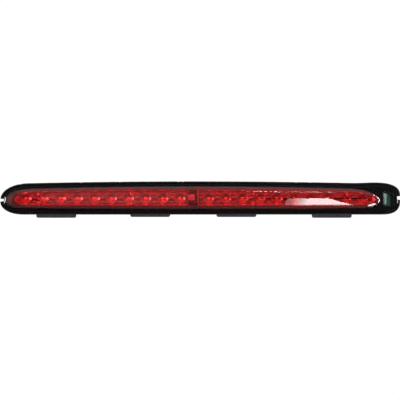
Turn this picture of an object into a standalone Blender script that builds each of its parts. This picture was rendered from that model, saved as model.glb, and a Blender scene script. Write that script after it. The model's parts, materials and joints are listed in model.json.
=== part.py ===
"""Third brake light for a boot lid: a long red lens on a black tray, twenty LEDs in two reflector
banks, a clear window over the connector end, four fixed hooks below and four sprung clips above.

The lamp faces -Y. X runs along its length and Z is up. The origin is the middle of the lens, on the
rear face of the flange, which the edge rubber holds off the body panel.
"""

from collections import namedtuple
from math import cos, exp, pi, radians, sin

import bmesh
import bpy
from mathutils import Matrix, Vector

# ---- Driving dimensions, in metres ----

GAP = 0.0003  # clearance between neighbours that touch
OVERCUT = 0.001  # how far a cutter runs past the surface it opens
ROOT = 0.0005  # how far an added shape is sunk into the wall that carries it
REACH_DEPTH = 0.03  # past every surface of the edge, for halving it

# Lens edge
LENS_LEFT = -0.2018
LENS_RIGHT = 0.2012
LENS_TOP = 0.0140
LENS_BOTTOM = -0.0122
LENS_MIDDLE = 0.0008  # height that the crown's rings draw in towards
LENS_CAPS_LEFT = (0.028, 0.017)  # lengths of the rounded end's upper and lower halves
LENS_CAPS_RIGHT = (0.033, 0.020)
LENS_RUN_LEFT = 0.027  # how far the ends of the crown's rings draw in by the time they close
LENS_RUN_RIGHT = 0.018
LENS_TIP_HEIGHT = -0.0018
LENS_TOP_RADIUS = 6.7  # the long edges bow very slightly
LENS_BOTTOM_RADIUS = 18.0

# Silhouette of the whole lamp, without the hooks
BODY_LEFT = -0.2086
BODY_RIGHT = 0.2215
BODY_TOP = 0.0185
BODY_BOTTOM = -0.0174
BODY_TOP_RADIUS = 8.0
BODY_CAPS_LEFT = (0.0310, 0.0258)
BODY_CAPS_RIGHT = (0.023, 0.023)
BODY_TIP_LEFT = -0.0026
BODY_TIP_RIGHT = 0.0003
POCKET_RISE = 0.0012  # the top edge swells over the connector end
POCKET_RISE_X = 0.196
POCKET_RISE_WIDTH = 0.016

# Depths, along Y
FLANGE_FRONT = -0.003
FLANGE_ROUNDING = (0.0018, 0.0012)  # how far in from the edge and how deep its front rounding runs
FLANGE_ROUNDING_STEPS = 4
FLANGE_BREAK = 0.0005  # the small bevel round its back
SEAT_DEPTH = 0.002
SEAT_CLEARANCE = 0.00035
TRAY_FRONT = -0.0006
BACK_INNER = 0.0197
BACK_OUTER = 0.022
LENS_FOOT = 0.0004
LENS_SHOULDER = -0.0033
LENS_CROWN = -0.011
LENS_WALL = 0.0022
REFLECTOR_RIM = 0.0021
REFLECTOR_FLOOR = 0.0055
DISH_BOTTOM = 0.009
BOARD_FRONT = 0.013
BOARD_THICK = 0.0016
GASKET_BACK = 0.0026
BEZEL_FRONT = 0.0008

# Slots in the two ends, with a webbed oval hole behind the left one and a slit below the right one
SLOT_LEFT_Z = -0.0016
SLOT_RIGHT_Z = 0.0008
SLOT_HALF_HEIGHT = 0.0014
SLOT_LEFT_LENGTH = 0.0036
SLOT_RIGHT_LENGTH = 0.0037
OVAL_X = -0.2040
OVAL_WIDTH = 0.0028
OVAL_HEIGHT = 0.0084
OVAL_LEAN = 0.2  # radians, the top towards the lens
OVAL_WEB = 0.0007
OVAL_WEB_SHARE = 0.42  # how much of the oval's height the web's edges run, each way from its middle
OVAL_ARC = 0.8
OVAL_STEPS = 10
RELIEF_LOW = (-0.2110, 0.0004, -0.0072)  # the tray stands back behind the oval
RELIEF_HIGH = (-0.2016, 0.0245, 0.0040)
SLIT_LOW = (0.2182, -0.0049)
SLIT_HIGH = (0.2190, 0.0)

# Widths, measured in from the silhouette or the lens edge
EDGE_BEAD = 0.0024
BODY_INSET = 0.0038
CAVITY_INSET = 0.0016
MOUTH_SHARE = 0.36  # how far the reflector mouth shrinks from the lens edge to its middle line
BEZEL_SHARE = 0.34
TROUGH_TOP_SHARE = 0.33
TROUGH_FLOOR_SHARE = 0.44
REFLECTOR_INSET = 0.0024
BEZEL_INSET = 0.0026
BOARD_INSET = 0.0028
SEAL_OUTER = 0.0003
SEAL_INNER = 0.0013
POCKET_INSET = 0.001

# LEDs and their reflectors
LEDS_PER_BANK = 10
LED_PITCH = 0.0184
LED_FIRST = 0.01555
LED_BASE = 0.0076
LED_BASE_THICK = 0.0022
LED_RADIUS = 0.0025
LED_TIP = 0.0062
DISH_RADIUS = 0.0066
DISH_HOLE = 0.0031
BRIDGE_LEFT = -0.0072
BRIDGE_RIGHT = 0.0046
PEG_X = (-0.1656, -0.0656, 0.0656, 0.1656)
PEG_Z = 0.0060
PEG_RADIUS = 0.0024
PEG_TOP = 0.0038
PEG_CLEARANCE = 0.0002
POST_RADIUS = 0.0022
BORE_RADIUS = 0.0013
BORE_BOTTOM = 0.0185
BLOCK_LOW = (-0.0063, -0.0008, -0.0024)
BLOCK_HIGH = (0.0006, 0.0015, 0.0048)

# Window over the connector end
WINDOW_LEFT = 0.2026
WINDOW_RIGHT = 0.2150
WINDOW_BOTTOM = -0.0088
WINDOW_TOP = 0.0078
WINDOW_CORNER = 0.0035
WINDOW_SEAT = -0.0008
WINDOW_THICK = 0.0018
WINDOW_RIB_LOW = (0.2042, -0.0015, -0.0062)
WINDOW_RIB_HIGH = (0.2064, 0.0060, 0.0054)

# Hooks and clips
STATIONS = (-0.1486, -0.0475, 0.0454, 0.1481)
HOOK_WIDTH = 0.043
HOOK_FRONT = 0.0036
HOOK_BACK = 0.0064
HOOK_DROP = (-0.0208, -0.0199, -0.0199, -0.0208)
HOOK_CORNER = 0.002
HOOK_ROOT = 0.005  # how far a hook reaches up behind the lower edge
CLIP_WIDTH = 0.012
CLIP_STRIP = 0.0006
CLIP_AXIS_Y = 0.015
CLIP_AXIS_LIFT = 0.0021
CLIP_BAR_RADIUS = 0.0008
EAR_THICK = 0.002
EAR_HALF_DEPTH = 0.0019
EAR_RISE = 0.0017
EAR_CLEARANCE = 0.0004

# Ribs across the back
RIBS = 18
RIB_PITCH = 0.021
RIB_THICK = 0.0012
RIB_HEIGHT = 0.0012
RIB_BOTTOM = -0.0095
RIB_TOP = 0.0100

# Connector
SOCKET_X = 0.192
SOCKET_Z = 0.0
SOCKET_INSIDE = (0.0125, 0.0085)
SOCKET_WALL = 0.0015
SOCKET_MOUTH = 0.0355
PIN_PITCH = 0.005
PIN_SIDE = 0.0009
PIN_FRONT = 0.0118
PIN_TIP = 0.0295
CARRIER_HALF = (0.0046, 0.0025)

# Room for the board tail, and the tail itself
LINK_LOW = (0.188, 0.0045, -0.0074)
LINK_HIGH = (0.2125, 0.0193, 0.0064)
TAIL_LOW = (0.1880, BOARD_FRONT, -0.0069)
TAIL_HIGH = (0.2120, BOARD_FRONT + BOARD_THICK, 0.0059)

# Small parts on the boards
CAPACITOR_X = 0.2073
CAPACITOR_Z = 0.0022
CAPACITOR_RADIUS = 0.0021
CAPACITOR_FRONT = 0.0082
DIODE = (0.2046, -0.0052, 0.2090, -0.0024)  # left, bottom, right, top
DIODE_THICK = 0.0022
RESISTOR_LEFT = 0.2106
RESISTOR_RIGHT = 0.2122
RESISTOR_HALF = 0.0008
RESISTOR_THICK = 0.0006
RESISTOR_Z = (-0.0042, -0.0006, 0.0030)
CHIP = (0.100, -0.002, 0.105, 0.002)
CHIP_THICK = 0.0017
RIBBON_REACH = 0.006
RIBBON_HALF = 0.003
RIBBON_THICK = 0.0004

# Breather vent on the back
VENT_X = -0.09
VENT_HOLE = 0.0016
VENT_PLUG = 0.0185
VENT_CAP_RADIUS = 0.0045
VENT_CAP_THICK = 0.0019

# Turned profiles as (radius, depth), from front to back
REFLECTOR_BACK = 0.0102
BRIDGE_LIP = 0.0006
DISH_PROFILE = (
    (0.0, REFLECTOR_FLOOR - OVERCUT),
    (DISH_RADIUS, REFLECTOR_FLOOR - OVERCUT),
    (DISH_RADIUS, REFLECTOR_FLOOR),
    (0.0052, 0.0073),
    (DISH_HOLE, DISH_BOTTOM),
    (DISH_HOLE, REFLECTOR_BACK + OVERCUT),
    (0.0, REFLECTOR_BACK + OVERCUT),
)
LED_PROFILE = (
    (0.0, LED_TIP),
    (0.0013, LED_TIP + 0.0004),
    (0.0022, LED_TIP + 0.0013),
    (LED_RADIUS, LED_TIP + LED_RADIUS),
    (LED_RADIUS, BOARD_FRONT - 0.001),
    (0.0, BOARD_FRONT - 0.001),
)
SCREW_PROFILE = (
    (0.0, REFLECTOR_RIM),
    (0.0012, REFLECTOR_RIM),
    (0.0020, REFLECTOR_RIM + 0.0004),
    (0.0021, PEG_TOP - GAP),
    (0.0010, PEG_TOP - GAP),
    (0.0010, 0.0165),
    (0.0, 0.0174),
)

VENT_PROFILE = (
    (0.0, VENT_PLUG),
    (VENT_HOLE - GAP, VENT_PLUG),
    (VENT_HOLE - GAP, BACK_OUTER + GAP),
    (VENT_CAP_RADIUS, BACK_OUTER + GAP),
    (VENT_CAP_RADIUS, BACK_OUTER + GAP + VENT_CAP_THICK - 0.0005),
    (VENT_CAP_RADIUS - 0.0005, BACK_OUTER + GAP + VENT_CAP_THICK),
    (0.0, BACK_OUTER + GAP + VENT_CAP_THICK),
)

# The clip's leaf as (depth, height over the tray wall), from the curl forward
CLIP_LEAF = (
    (0.0120, 0.00095),
    (0.0090, 0.0019),
    (0.0068, 0.0030),
    (0.0057, 0.0033),
    (0.0046, 0.0030),
    (0.0036, 0.0023),
)

# The rubber edge bead's section as (inset, depth): a round bead and a lip behind the flange
GASKET_SECTION = (
    (0.0006, -0.0026),
    (0.0018, -0.0026),
    (EDGE_BEAD, -0.0018),
    (EDGE_BEAD, GAP),
    (BODY_INSET - GAP, GAP),
    (BODY_INSET - GAP, GASKET_BACK),
    (0.0008, GASKET_BACK),
    (0.0002, 0.0018),
    (0.0, 0.0),
    (0.0001, -0.0016),
)

# The lens crown as the shares of the way from edge to middle line where its rings lie
CROWN_SHARES = (0.0, 0.02, 0.07, 0.16, 0.30, 0.50, 0.75, 0.93)
CROWN_POWER = 2.4
CROWN_START = 0.18  # how far round its curve the crown begins, so that it never stands upright

EDGE_STEPS = 14
CAP_STEPS = 6

Shape = namedtuple(
    "Shape",
    "left right caps_left caps_right run_left run_right tip_left tip_right top bottom"
    " power_left power_right",
)


# ---- Scene and small helpers ----


def clear_scene():
    for obj in list(bpy.data.objects):
        bpy.data.objects.remove(obj, do_unlink=True)


def new_collection(name):
    collection = bpy.data.collections.new(name)
    bpy.context.scene.collection.children.link(collection)
    return collection


def material(name, color, roughness, metallic=0.0, transmission=0.0):
    made = bpy.data.materials.get(name) or bpy.data.materials.new(name)
    made.use_nodes = True
    shader = made.node_tree.nodes["Principled BSDF"]
    shader.inputs["Base Color"].default_value = (*color, 1.0)
    shader.inputs["Roughness"].default_value = roughness
    shader.inputs["Metallic"].default_value = metallic
    shader.inputs["Transmission Weight"].default_value = transmission
    return made


def mesh_object(name, bm, collection, mat=None):
    bmesh.ops.recalc_face_normals(bm, faces=bm.faces[:])
    mesh = bpy.data.meshes.new(name)
    bm.to_mesh(mesh)
    bm.free()
    obj = bpy.data.objects.new(name, mesh)
    collection.objects.link(obj)
    if mat:
        mesh.materials.append(mat)
    return obj


def join_rings(bm, near, far):
    """A band of faces between two matching closed rings of corners."""
    for index in range(len(near)):
        before = index - 1
        bm.faces.new((near[before], near[index], far[index], far[before]))


def smooth(obj, angle=35.0):
    obj.data.shade_smooth()
    obj.data.set_sharp_from_angle(angle=radians(angle))


def hide_tool(obj):
    obj.hide_render = True
    obj.display_type = "WIRE"


def box(name, collection, low, high, mat=None):
    bm = bmesh.new()
    bmesh.ops.create_cube(bm, size=1.0)
    size = Vector(high) - Vector(low)
    middle = (Vector(high) + Vector(low)) / 2
    placing = Matrix.Translation(middle) @ Matrix.Diagonal((*size, 1.0))
    bmesh.ops.transform(bm, matrix=placing, verts=bm.verts)
    return mesh_object(name, bm, collection, mat)


def rod(name, collection, start, end, radius, sides=12, mat=None):
    """A cylinder between two points."""
    bm = bmesh.new()
    run = Vector(end) - Vector(start)
    size = {"radius1": radius, "radius2": radius, "depth": run.length}
    bmesh.ops.create_cone(bm, cap_ends=True, segments=sides, **size)
    turn = run.to_track_quat("Z", "Y").to_matrix().to_4x4()
    middle = Matrix.Translation((Vector(start) + Vector(end)) / 2)
    bmesh.ops.transform(bm, matrix=middle @ turn, verts=bm.verts)
    return mesh_object(name, bm, collection, mat)


def boolean(obj, operation, tool):
    modifier = obj.modifiers.new(operation.title(), "BOOLEAN")
    modifier.operation = operation
    modifier.solver = "EXACT"
    if isinstance(tool, bpy.types.Collection):
        modifier.operand_type = "COLLECTION"
        modifier.collection = tool
    else:
        modifier.object = tool
        hide_tool(tool)


def bevel(obj, width, segments=2, angle=40.0):
    modifier = obj.modifiers.new("Bevel", "BEVEL")
    modifier.width = width
    modifier.segments = segments
    modifier.limit_method = "ANGLE"
    modifier.angle_limit = radians(angle)
    modifier.use_clamp_overlap = True


def apply_all(obj):
    """Replaces the object's mesh by its evaluated mesh."""
    bpy.context.view_layer.update()
    graph = bpy.context.evaluated_depsgraph_get()
    mesh = bpy.data.meshes.new_from_object(obj.evaluated_get(graph))
    obj.modifiers.clear()
    obj.data = mesh


# ---- Outlines ----


def lens_top(x):
    return LENS_TOP - x * x / (2 * LENS_TOP_RADIUS)


def lens_bottom(x):
    return LENS_BOTTOM + x * x / (2 * LENS_BOTTOM_RADIUS)


def body_top(x):
    rise = POCKET_RISE * exp(-(((x - POCKET_RISE_X) / POCKET_RISE_WIDTH) ** 2))
    return BODY_TOP - x * x / (2 * BODY_TOP_RADIUS) + rise


def body_bottom(x):
    return BODY_BOTTOM


LENS = Shape(
    LENS_LEFT, LENS_RIGHT, LENS_CAPS_LEFT, LENS_CAPS_RIGHT, LENS_RUN_LEFT, LENS_RUN_RIGHT,
    LENS_TIP_HEIGHT, LENS_TIP_HEIGHT, lens_top, lens_bottom, 2.4, 2.0,
)
BODY = Shape(
    BODY_LEFT, BODY_RIGHT, BODY_CAPS_LEFT, BODY_CAPS_RIGHT, 0.0, 0.0,
    BODY_TIP_LEFT, BODY_TIP_RIGHT, body_top, body_bottom, 2.2, 3.0,
)


def shrunk(shape, share):
    """The same outline drawn in towards the lens's middle line by a share of the way."""
    keep = 1 - share

    def drawn_in(z):
        return LENS_MIDDLE + (z - LENS_MIDDLE) * keep

    return shape._replace(
        left=shape.left + share * shape.run_left,
        right=shape.right - share * shape.run_right,
        caps_left=[length * keep for length in shape.caps_left],
        caps_right=[length * keep for length in shape.caps_right],
        tip_left=drawn_in(shape.tip_left),
        tip_right=drawn_in(shape.tip_right),
        top=lambda x: drawn_in(shape.top(x)),
        bottom=lambda x: drawn_in(shape.bottom(x)),
    )


MOUTH = shrunk(LENS, MOUTH_SHARE)


def cap(shape, side):
    """The rounded end at side -1 or 1, from the top edge over the tip to the bottom edge."""
    lengths, tip, end, power = (
        (shape.caps_right, shape.tip_right, shape.right, shape.power_right)
        if side > 0
        else (shape.caps_left, shape.tip_left, shape.left, shape.power_left)
    )
    points = []
    for step in range(1, 2 * CAP_STEPS):
        angle = pi / 2 - pi * step / (2 * CAP_STEPS)
        length = lengths[0] if angle >= 0 else lengths[1]
        x = end - side * length * (1 - abs(cos(angle)) ** (2 / power))
        edge = shape.top(x) if angle >= 0 else shape.bottom(x)
        points.append((x, tip + (edge - tip) * abs(sin(angle)) ** (2 / power)))
    return points if any(lengths) else []


def spread(first, last):
    """The places along a long edge, evenly spaced."""
    return [first + (last - first) * step / EDGE_STEPS for step in range(EDGE_STEPS + 1)]


def outline(shape, inset=0.0):
    """The closed outline as (x, z), clockwise seen from the front, moved in along its normals.

    An end with no cap is square, and stays where it is.
    """
    above = spread(shape.left + shape.caps_left[0], shape.right - shape.caps_right[0])
    below = spread(shape.left + shape.caps_left[1], shape.right - shape.caps_right[1])
    points = [(x, shape.top(x)) for x in above]
    points += cap(shape, 1)
    turn = len(points)
    points += [(x, shape.bottom(x)) for x in reversed(below)]
    points += reversed(cap(shape, -1))
    moved = moved_in(points, inset)
    square = []
    if not any(shape.caps_left):
        square += [(0, -inset), (turn + EDGE_STEPS, inset)]
    if not any(shape.caps_right):
        square += [(EDGE_STEPS, -inset), (turn, inset)]
    for corner, shift in square:
        moved[corner] = (points[corner][0], points[corner][1] + shift)
    return moved


def moved_in(points, inset):
    moved = []
    for index, point in enumerate(points):
        before = Vector(points[index - 1])
        after = Vector(points[(index + 1) % len(points)])
        along = (after - before).normalized()
        moved.append((point[0] + inset * along.y, point[1] - inset * along.x))
    return moved


def rounded_rectangle(left, right, bottom, top, radius, steps=4):
    corners = (
        (right - radius, top - radius, pi / 2),
        (right - radius, bottom + radius, 0.0),
        (left + radius, bottom + radius, -pi / 2),
        (left + radius, top - radius, -pi),
    )
    points = []
    for x, z, start in corners:
        for step in range(steps + 1):
            angle = start - pi / 2 * step / steps
            points.append((x + radius * cos(angle), z + radius * sin(angle)))
    return points


def plate(name, collection, loops, front, back, mat=None):
    """A flat plate between two depths; the first loop is its outline and the others are holes."""
    curve = bpy.data.curves.new(name, "CURVE")
    curve.dimensions = "2D"
    curve.fill_mode = "BOTH"
    curve.extrude = (back - front) / 2
    for loop in loops:
        spline = curve.splines.new("POLY")
        spline.points.add(len(loop) - 1)
        for point, (x, z) in zip(spline.points, loop):
            point.co = (x, z, 0.0, 1.0)
        spline.use_cyclic_u = True
    drawn = bpy.data.objects.new(name, curve)
    collection.objects.link(drawn)
    drawn.rotation_euler = (pi / 2, 0, 0)
    drawn.location.y = (front + back) / 2
    return curve_to_mesh(drawn, name, collection, mat)


def curve_to_mesh(drawn, name, collection, mat):
    bpy.context.view_layer.update()
    graph = bpy.context.evaluated_depsgraph_get()
    raw = bpy.data.meshes.new_from_object(drawn.evaluated_get(graph))
    bm = bmesh.new()
    bm.from_mesh(raw)
    bmesh.ops.remove_doubles(bm, verts=bm.verts, dist=0.00001)
    bmesh.ops.transform(bm, matrix=drawn.matrix_world, verts=bm.verts)
    bpy.data.objects.remove(drawn, do_unlink=True)
    bpy.data.meshes.remove(raw)
    return mesh_object(name, bm, collection, mat)


# ---- Housing ----


def pocket_outline(inset=0.0):
    return rounded_rectangle(
        WINDOW_LEFT + inset,
        WINDOW_RIGHT - inset,
        WINDOW_BOTTOM + inset,
        WINDOW_TOP - inset,
        WINDOW_CORNER - inset,
    )


def clip_axis_z(x):
    return body_top(x) - BODY_INSET + CLIP_AXIS_LIFT


def hook_blank(collection, index):
    left = STATIONS[index] - HOOK_WIDTH / 2
    right = STATIONS[index] + HOOK_WIDTH / 2
    shape = rounded_rectangle(left, right, HOOK_DROP[index], BODY_BOTTOM + HOOK_ROOT, HOOK_CORNER)
    hook = plate(f"hook_blank_{index + 1}", collection, [shape], HOOK_FRONT, HOOK_BACK)
    bevel(hook, 0.0006, 2)
    hide_tool(hook)


def clip_seat_blanks(collection, index):
    """Two ears with a bar between them, for one clip."""
    x = STATIONS[index]
    z = clip_axis_z(x)
    inner = CLIP_WIDTH / 2 + EAR_CLEARANCE
    for side in (-1, 1):
        near, far = sorted((x + side * inner, x + side * (inner + EAR_THICK)))
        ear = box(
            f"ear_blank_{index + 1}_{side + 1}",
            collection,
            (near, CLIP_AXIS_Y - EAR_HALF_DEPTH, z - CLIP_AXIS_LIFT - ROOT),
            (far, CLIP_AXIS_Y + EAR_HALF_DEPTH, z + EAR_RISE),
        )
        hide_tool(ear)
    reach = inner + EAR_THICK / 2
    bar = rod(
        f"bar_blank_{index + 1}",
        collection,
        (x - reach, CLIP_AXIS_Y, z),
        (x + reach, CLIP_AXIS_Y, z),
        CLIP_BAR_RADIUS,
    )
    hide_tool(bar)


def socket_outline(grow):
    half_x = SOCKET_INSIDE[0] / 2 + grow
    half_z = SOCKET_INSIDE[1] / 2 + grow
    return rounded_rectangle(
        SOCKET_X - half_x, SOCKET_X + half_x, SOCKET_Z - half_z, SOCKET_Z + half_z, 0.001 + grow, 3
    )


def outside_blanks(collection):
    """What the tray carries outside: hooks, clip seats, ribs and the plug socket."""
    for index in range(len(STATIONS)):
        hook_blank(collection, index)
        clip_seat_blanks(collection, index)
    for number in range(RIBS):
        x = RIB_PITCH * (number - RIBS // 2)
        low = (x - RIB_THICK / 2, BACK_OUTER - ROOT, RIB_BOTTOM)
        high = (x + RIB_THICK / 2, BACK_OUTER + RIB_HEIGHT, RIB_TOP)
        hide_tool(box(f"rib_blank_{number + 1}", collection, low, high))
    walls = [socket_outline(SOCKET_WALL)]
    hide_tool(plate("socket_blank", collection, walls, BACK_OUTER - ROOT, SOCKET_MOUTH))


def slot_cutter(name, collection, end, side, z, length):
    """Opens one end of the flange from its tip inwards."""
    near, far = sorted((end - side * length, end + side * OVERCUT))
    low = (near, FLANGE_FRONT - OVERCUT, z - SLOT_HALF_HEIGHT)
    high = (far, BACK_OUTER + OVERCUT, z + SLOT_HALF_HEIGHT)
    hide_tool(box(name, collection, low, high))


def leaning(points):
    """Turns an outline round the middle of the oval hole by its lean."""
    turn = Matrix.Rotation(-OVAL_LEAN, 2)
    middle = Vector((OVAL_X, SLOT_LEFT_Z))
    return [tuple(middle + turn @ Vector(point)) for point in points]


def oval_cutters(collection):
    """Two crescents that leave a web standing in a leaning oval hole."""
    for side in (-1, 1):
        crescent = [(side * OVAL_WEB / 2, -OVAL_HEIGHT * OVAL_WEB_SHARE)]
        for step in range(OVAL_STEPS + 1):
            angle = pi * (step / OVAL_STEPS - 0.5) * OVAL_ARC
            crescent.append((side * OVAL_WIDTH / 2 * cos(angle), OVAL_HEIGHT / 2 * sin(angle)))
        crescent.append((side * OVAL_WEB / 2, OVAL_HEIGHT * OVAL_WEB_SHARE))
        name = f"oval_cutter_{side + 1}"
        hide_tool(plate(name, collection, [leaning(crescent)], FLANGE_FRONT - OVERCUT, BACK_OUTER + OVERCUT))


def slit_cutter(name, collection):
    low = (SLIT_LOW[0], FLANGE_FRONT - OVERCUT, SLIT_LOW[1])
    high = (SLIT_HIGH[0], GASKET_BACK + OVERCUT, SLIT_HIGH[1])
    return box(name, collection, low, high)


def end_cutters(collection):
    slot_cutter("slot_left", collection, BODY_LEFT, -1, SLOT_LEFT_Z, SLOT_LEFT_LENGTH)
    slot_cutter("slot_right", collection, BODY_RIGHT, 1, SLOT_RIGHT_Z, SLOT_RIGHT_LENGTH)
    oval_cutters(collection)
    hide_tool(box("oval_relief", collection, RELIEF_LOW, RELIEF_HIGH))
    hide_tool(slit_cutter("slit", collection))


def inside_cutters(collection):
    """The lens seat, the cavity behind it, the connector pocket, its window seat and the socket."""
    ahead = FLANGE_FRONT - OVERCUT
    inside_window = WINDOW_SEAT - OVERCUT
    return (
        plate("seat_cutter", collection, [outline(LENS, -SEAT_CLEARANCE)], ahead, SEAT_DEPTH),
        plate("cavity_cutter", collection, [outline(LENS, CAVITY_INSET)], 0.0, BACK_INNER),
        plate("window_cutter", collection, [pocket_outline(-GAP)], ahead, WINDOW_SEAT),
        plate("pocket_cutter", collection, [pocket_outline(POCKET_INSET)], inside_window, BACK_INNER - GAP),
        box("pocket_link", collection, LINK_LOW, LINK_HIGH),
        plate("socket_cutter", collection, [socket_outline(0.0)], BACK_OUTER, SOCKET_MOUTH + OVERCUT),
    )


def post_blanks(collection):
    """The posts that the boards stand on and the screws bite into."""
    for number, (x, z) in enumerate(peg_places()):
        front = (x, BOARD_FRONT + BOARD_THICK + GAP, z)
        back = (x, BACK_INNER + ROOT, z)
        hide_tool(rod(f"post_blank_{number + 1}", collection, front, back, POST_RADIUS, sides=10))


def bore_cutters(collection):
    for number, (x, z) in enumerate(peg_places()):
        ends = ((x, BOARD_FRONT, z), (x, BORE_BOTTOM, z))
        hide_tool(rod(f"bore_{number + 1}", collection, *ends, BORE_RADIUS, sides=10))
    for x in pin_places():
        hide_tool(pin_hole("back_pin_hole", collection, x, BACK_INNER - OVERCUT, BACK_OUTER + OVERCUT))
    ends = ((VENT_X, BACK_INNER - OVERCUT, 0.0), (VENT_X, BACK_OUTER + 2 * OVERCUT, 0.0))
    hide_tool(rod("vent_hole", collection, *ends, VENT_HOLE, sides=16))


def add_group(obj, cutters, operation, fill):
    """Fills a collection of tools and uses them all in one Boolean."""
    group = group_in(cutters, fill.__name__)
    fill(group)
    boolean(obj, operation, group)


def flange_levels():
    """The flange's edge from back to front, as (inset, depth) places."""
    across, deep = FLANGE_ROUNDING
    levels = [(FLANGE_BREAK, 0.0), (0.0, -FLANGE_BREAK)]
    for step in range(FLANGE_ROUNDING_STEPS + 1):
        turn = radians(90) * step / FLANGE_ROUNDING_STEPS
        levels.append((across * (1 - cos(turn)), FLANGE_FRONT + deep * (1 - sin(turn))))
    return levels


def make_flange(parts):
    """A solid through rings round the silhouette, closed by a flat face at each end."""
    bm = bmesh.new()
    rings = []
    for inset, depth in flange_levels():
        corners = outline(BODY, EDGE_BEAD + GAP + inset)
        rings.append([bm.verts.new((x, depth, z)) for x, z in corners])
    for near, far in zip(rings, rings[1:]):
        join_rings(bm, near, far)
    bm.faces.new(rings[0])
    bm.faces.new(rings[-1])
    return mesh_object("housing", bm, parts, material("black_plastic", (0.012, 0.013, 0.014), 0.18))


def make_housing(parts, cutters):
    housing = make_flange(parts)
    tray = plate("tray_blank", cutters, [outline(BODY, BODY_INSET)], TRAY_FRONT, BACK_OUTER)
    bevel(tray, 0.0012, 2)
    boolean(housing, "UNION", tray)
    add_group(housing, cutters, "UNION", outside_blanks)
    for tool in inside_cutters(cutters):
        boolean(housing, "DIFFERENCE", tool)
    add_group(housing, cutters, "UNION", post_blanks)
    add_group(housing, cutters, "DIFFERENCE", bore_cutters)
    add_group(housing, cutters, "DIFFERENCE", end_cutters)
    apply_all(housing)
    smooth(housing, 30)


# ---- Covers and seals ----


def crown_curve(share):
    return (1 - (1 - share) ** CROWN_POWER) ** (1 / CROWN_POWER)


def crown_depth(share):
    """How far forward the lens stands, a share of the way from its edge to its middle line."""
    start = crown_curve(CROWN_START)
    rise = (crown_curve(CROWN_START + (1 - CROWN_START) * share) - start) / (1 - start)
    return LENS_SHOULDER + (LENS_CROWN - LENS_SHOULDER) * rise


def make_outer_lens(parts):
    """A crowned shell: rings from the foot up over the shoulder, closed by a narrow flat strip."""
    levels = [(0.0, LENS_FOOT)] + [(share, crown_depth(share)) for share in CROWN_SHARES]
    bm = bmesh.new()
    rings = []
    for share, depth in levels:
        ring = [bm.verts.new((x, depth, z)) for x, z in outline(shrunk(LENS, share))]
        rings.append(ring)
    for outer, inner in zip(rings, rings[1:]):
        join_rings(bm, outer, inner)
    bm.faces.new(rings[-1])
    mat = material("red_lens", (0.55, 0.004, 0.008), 0.04, transmission=0.9)
    lens = mesh_object("outer_lens", bm, parts, mat)
    shell = lens.modifiers.new("Solidify", "SOLIDIFY")
    shell.thickness = LENS_WALL
    shell.offset = -1.0
    apply_all(lens)
    smooth(lens, 50)


def swept(name, collection, section, mat):
    """A ring: a closed section of (shape, inset, depth) corners carried round the outlines."""
    bm = bmesh.new()
    rings = []
    for shape, inset, depth in section:
        rings.append([bm.verts.new((x, depth, z)) for x, z in outline(shape, inset)])
    for near, far in zip(rings, rings[1:] + rings[:1]):
        join_rings(bm, near, far)
    return mesh_object(name, bm, collection, mat)


def slot_line(side, lift):
    """A cutter that takes away all above (side 1) or below (side -1) a line from slot to slot."""
    reach = BODY_RIGHT + 10 * OVERCUT
    far = side * REACH_DEPTH
    slope = (SLOT_RIGHT_Z - SLOT_LEFT_Z) / (BODY_RIGHT - BODY_LEFT)
    middle = SLOT_LEFT_Z - slope * BODY_LEFT
    return [
        (-reach, middle - slope * reach + lift),
        (reach, middle + slope * reach + lift),
        (reach, far),
        (-reach, far),
    ]


def make_seals(parts, cutters):
    rubber = material("seal_rubber", (0.02, 0.02, 0.021), 0.8)
    front = LENS_FOOT + GAP
    back = SEAT_DEPTH - GAP
    corners = ((SEAL_OUTER, front), (SEAL_INNER, front), (SEAL_INNER, back), (SEAL_OUTER, back))
    seal = swept("lens_seal", parts, [(LENS, *corner) for corner in corners], rubber)
    smooth(seal, 40)
    for side, name in ((1, "gasket_upper"), (-1, "gasket_lower")):
        gasket = swept(name, parts, [(BODY, *corner) for corner in GASKET_SECTION], rubber)
        line = slot_line(-side, side * SLOT_HALF_HEIGHT)
        cutter = plate(f"{name}_cutter", cutters, [line], -REACH_DEPTH, REACH_DEPTH)
        boolean(gasket, "DIFFERENCE", cutter)
        if side < 0:
            boolean(gasket, "DIFFERENCE", slit_cutter("gasket_slit", cutters))
        apply_all(gasket)
        smooth(gasket, 40)


def make_end_window(parts, cutters):
    """A clear pane with a rib behind its inner edge."""
    clear = material("clear_window", (0.72, 0.8, 0.77), 0.05, transmission=0.9)
    back = WINDOW_SEAT - GAP
    pane = plate("end_window", parts, [pocket_outline()], back - WINDOW_THICK, back, clear)
    bevel(pane, 0.0006, 2)
    rib = box("window_rib_blank", cutters, WINDOW_RIB_LOW, WINDOW_RIB_HIGH)
    boolean(pane, "UNION", rib)
    apply_all(pane)
    smooth(pane)


def make_inner_bezel(parts, cutters):
    """The black frame between lens and reflectors, with the bridge that parts the two banks."""
    black = material("bezel_black", (0.015, 0.013, 0.013), 0.45)
    back = REFLECTOR_RIM - GAP
    inner = shrunk(LENS, BEZEL_SHARE)
    section = (
        (LENS, BEZEL_INSET, BEZEL_FRONT),
        (LENS, BEZEL_INSET, back),
        (inner, 0.0, back),
        (inner, 0.0, BEZEL_FRONT),
    )
    frame = swept("inner_bezel", parts, section, black)
    low = (BRIDGE_LEFT, BEZEL_FRONT + GAP, MOUTH.bottom(0) - ROOT)
    high = (BRIDGE_RIGHT, back, MOUTH.top(0) + ROOT)
    boolean(frame, "UNION", box("bridge_blank", cutters, low, high))
    block = box("bridge_block_blank", cutters, BLOCK_LOW, BLOCK_HIGH)
    bevel(block, 0.0004, 1)
    boolean(frame, "UNION", block)
    apply_all(frame)
    smooth(frame)


# ---- Lighting ----


def led_places(side):
    return [side * (LED_FIRST + LED_PITCH * number) for number in range(LEDS_PER_BANK)]


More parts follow.
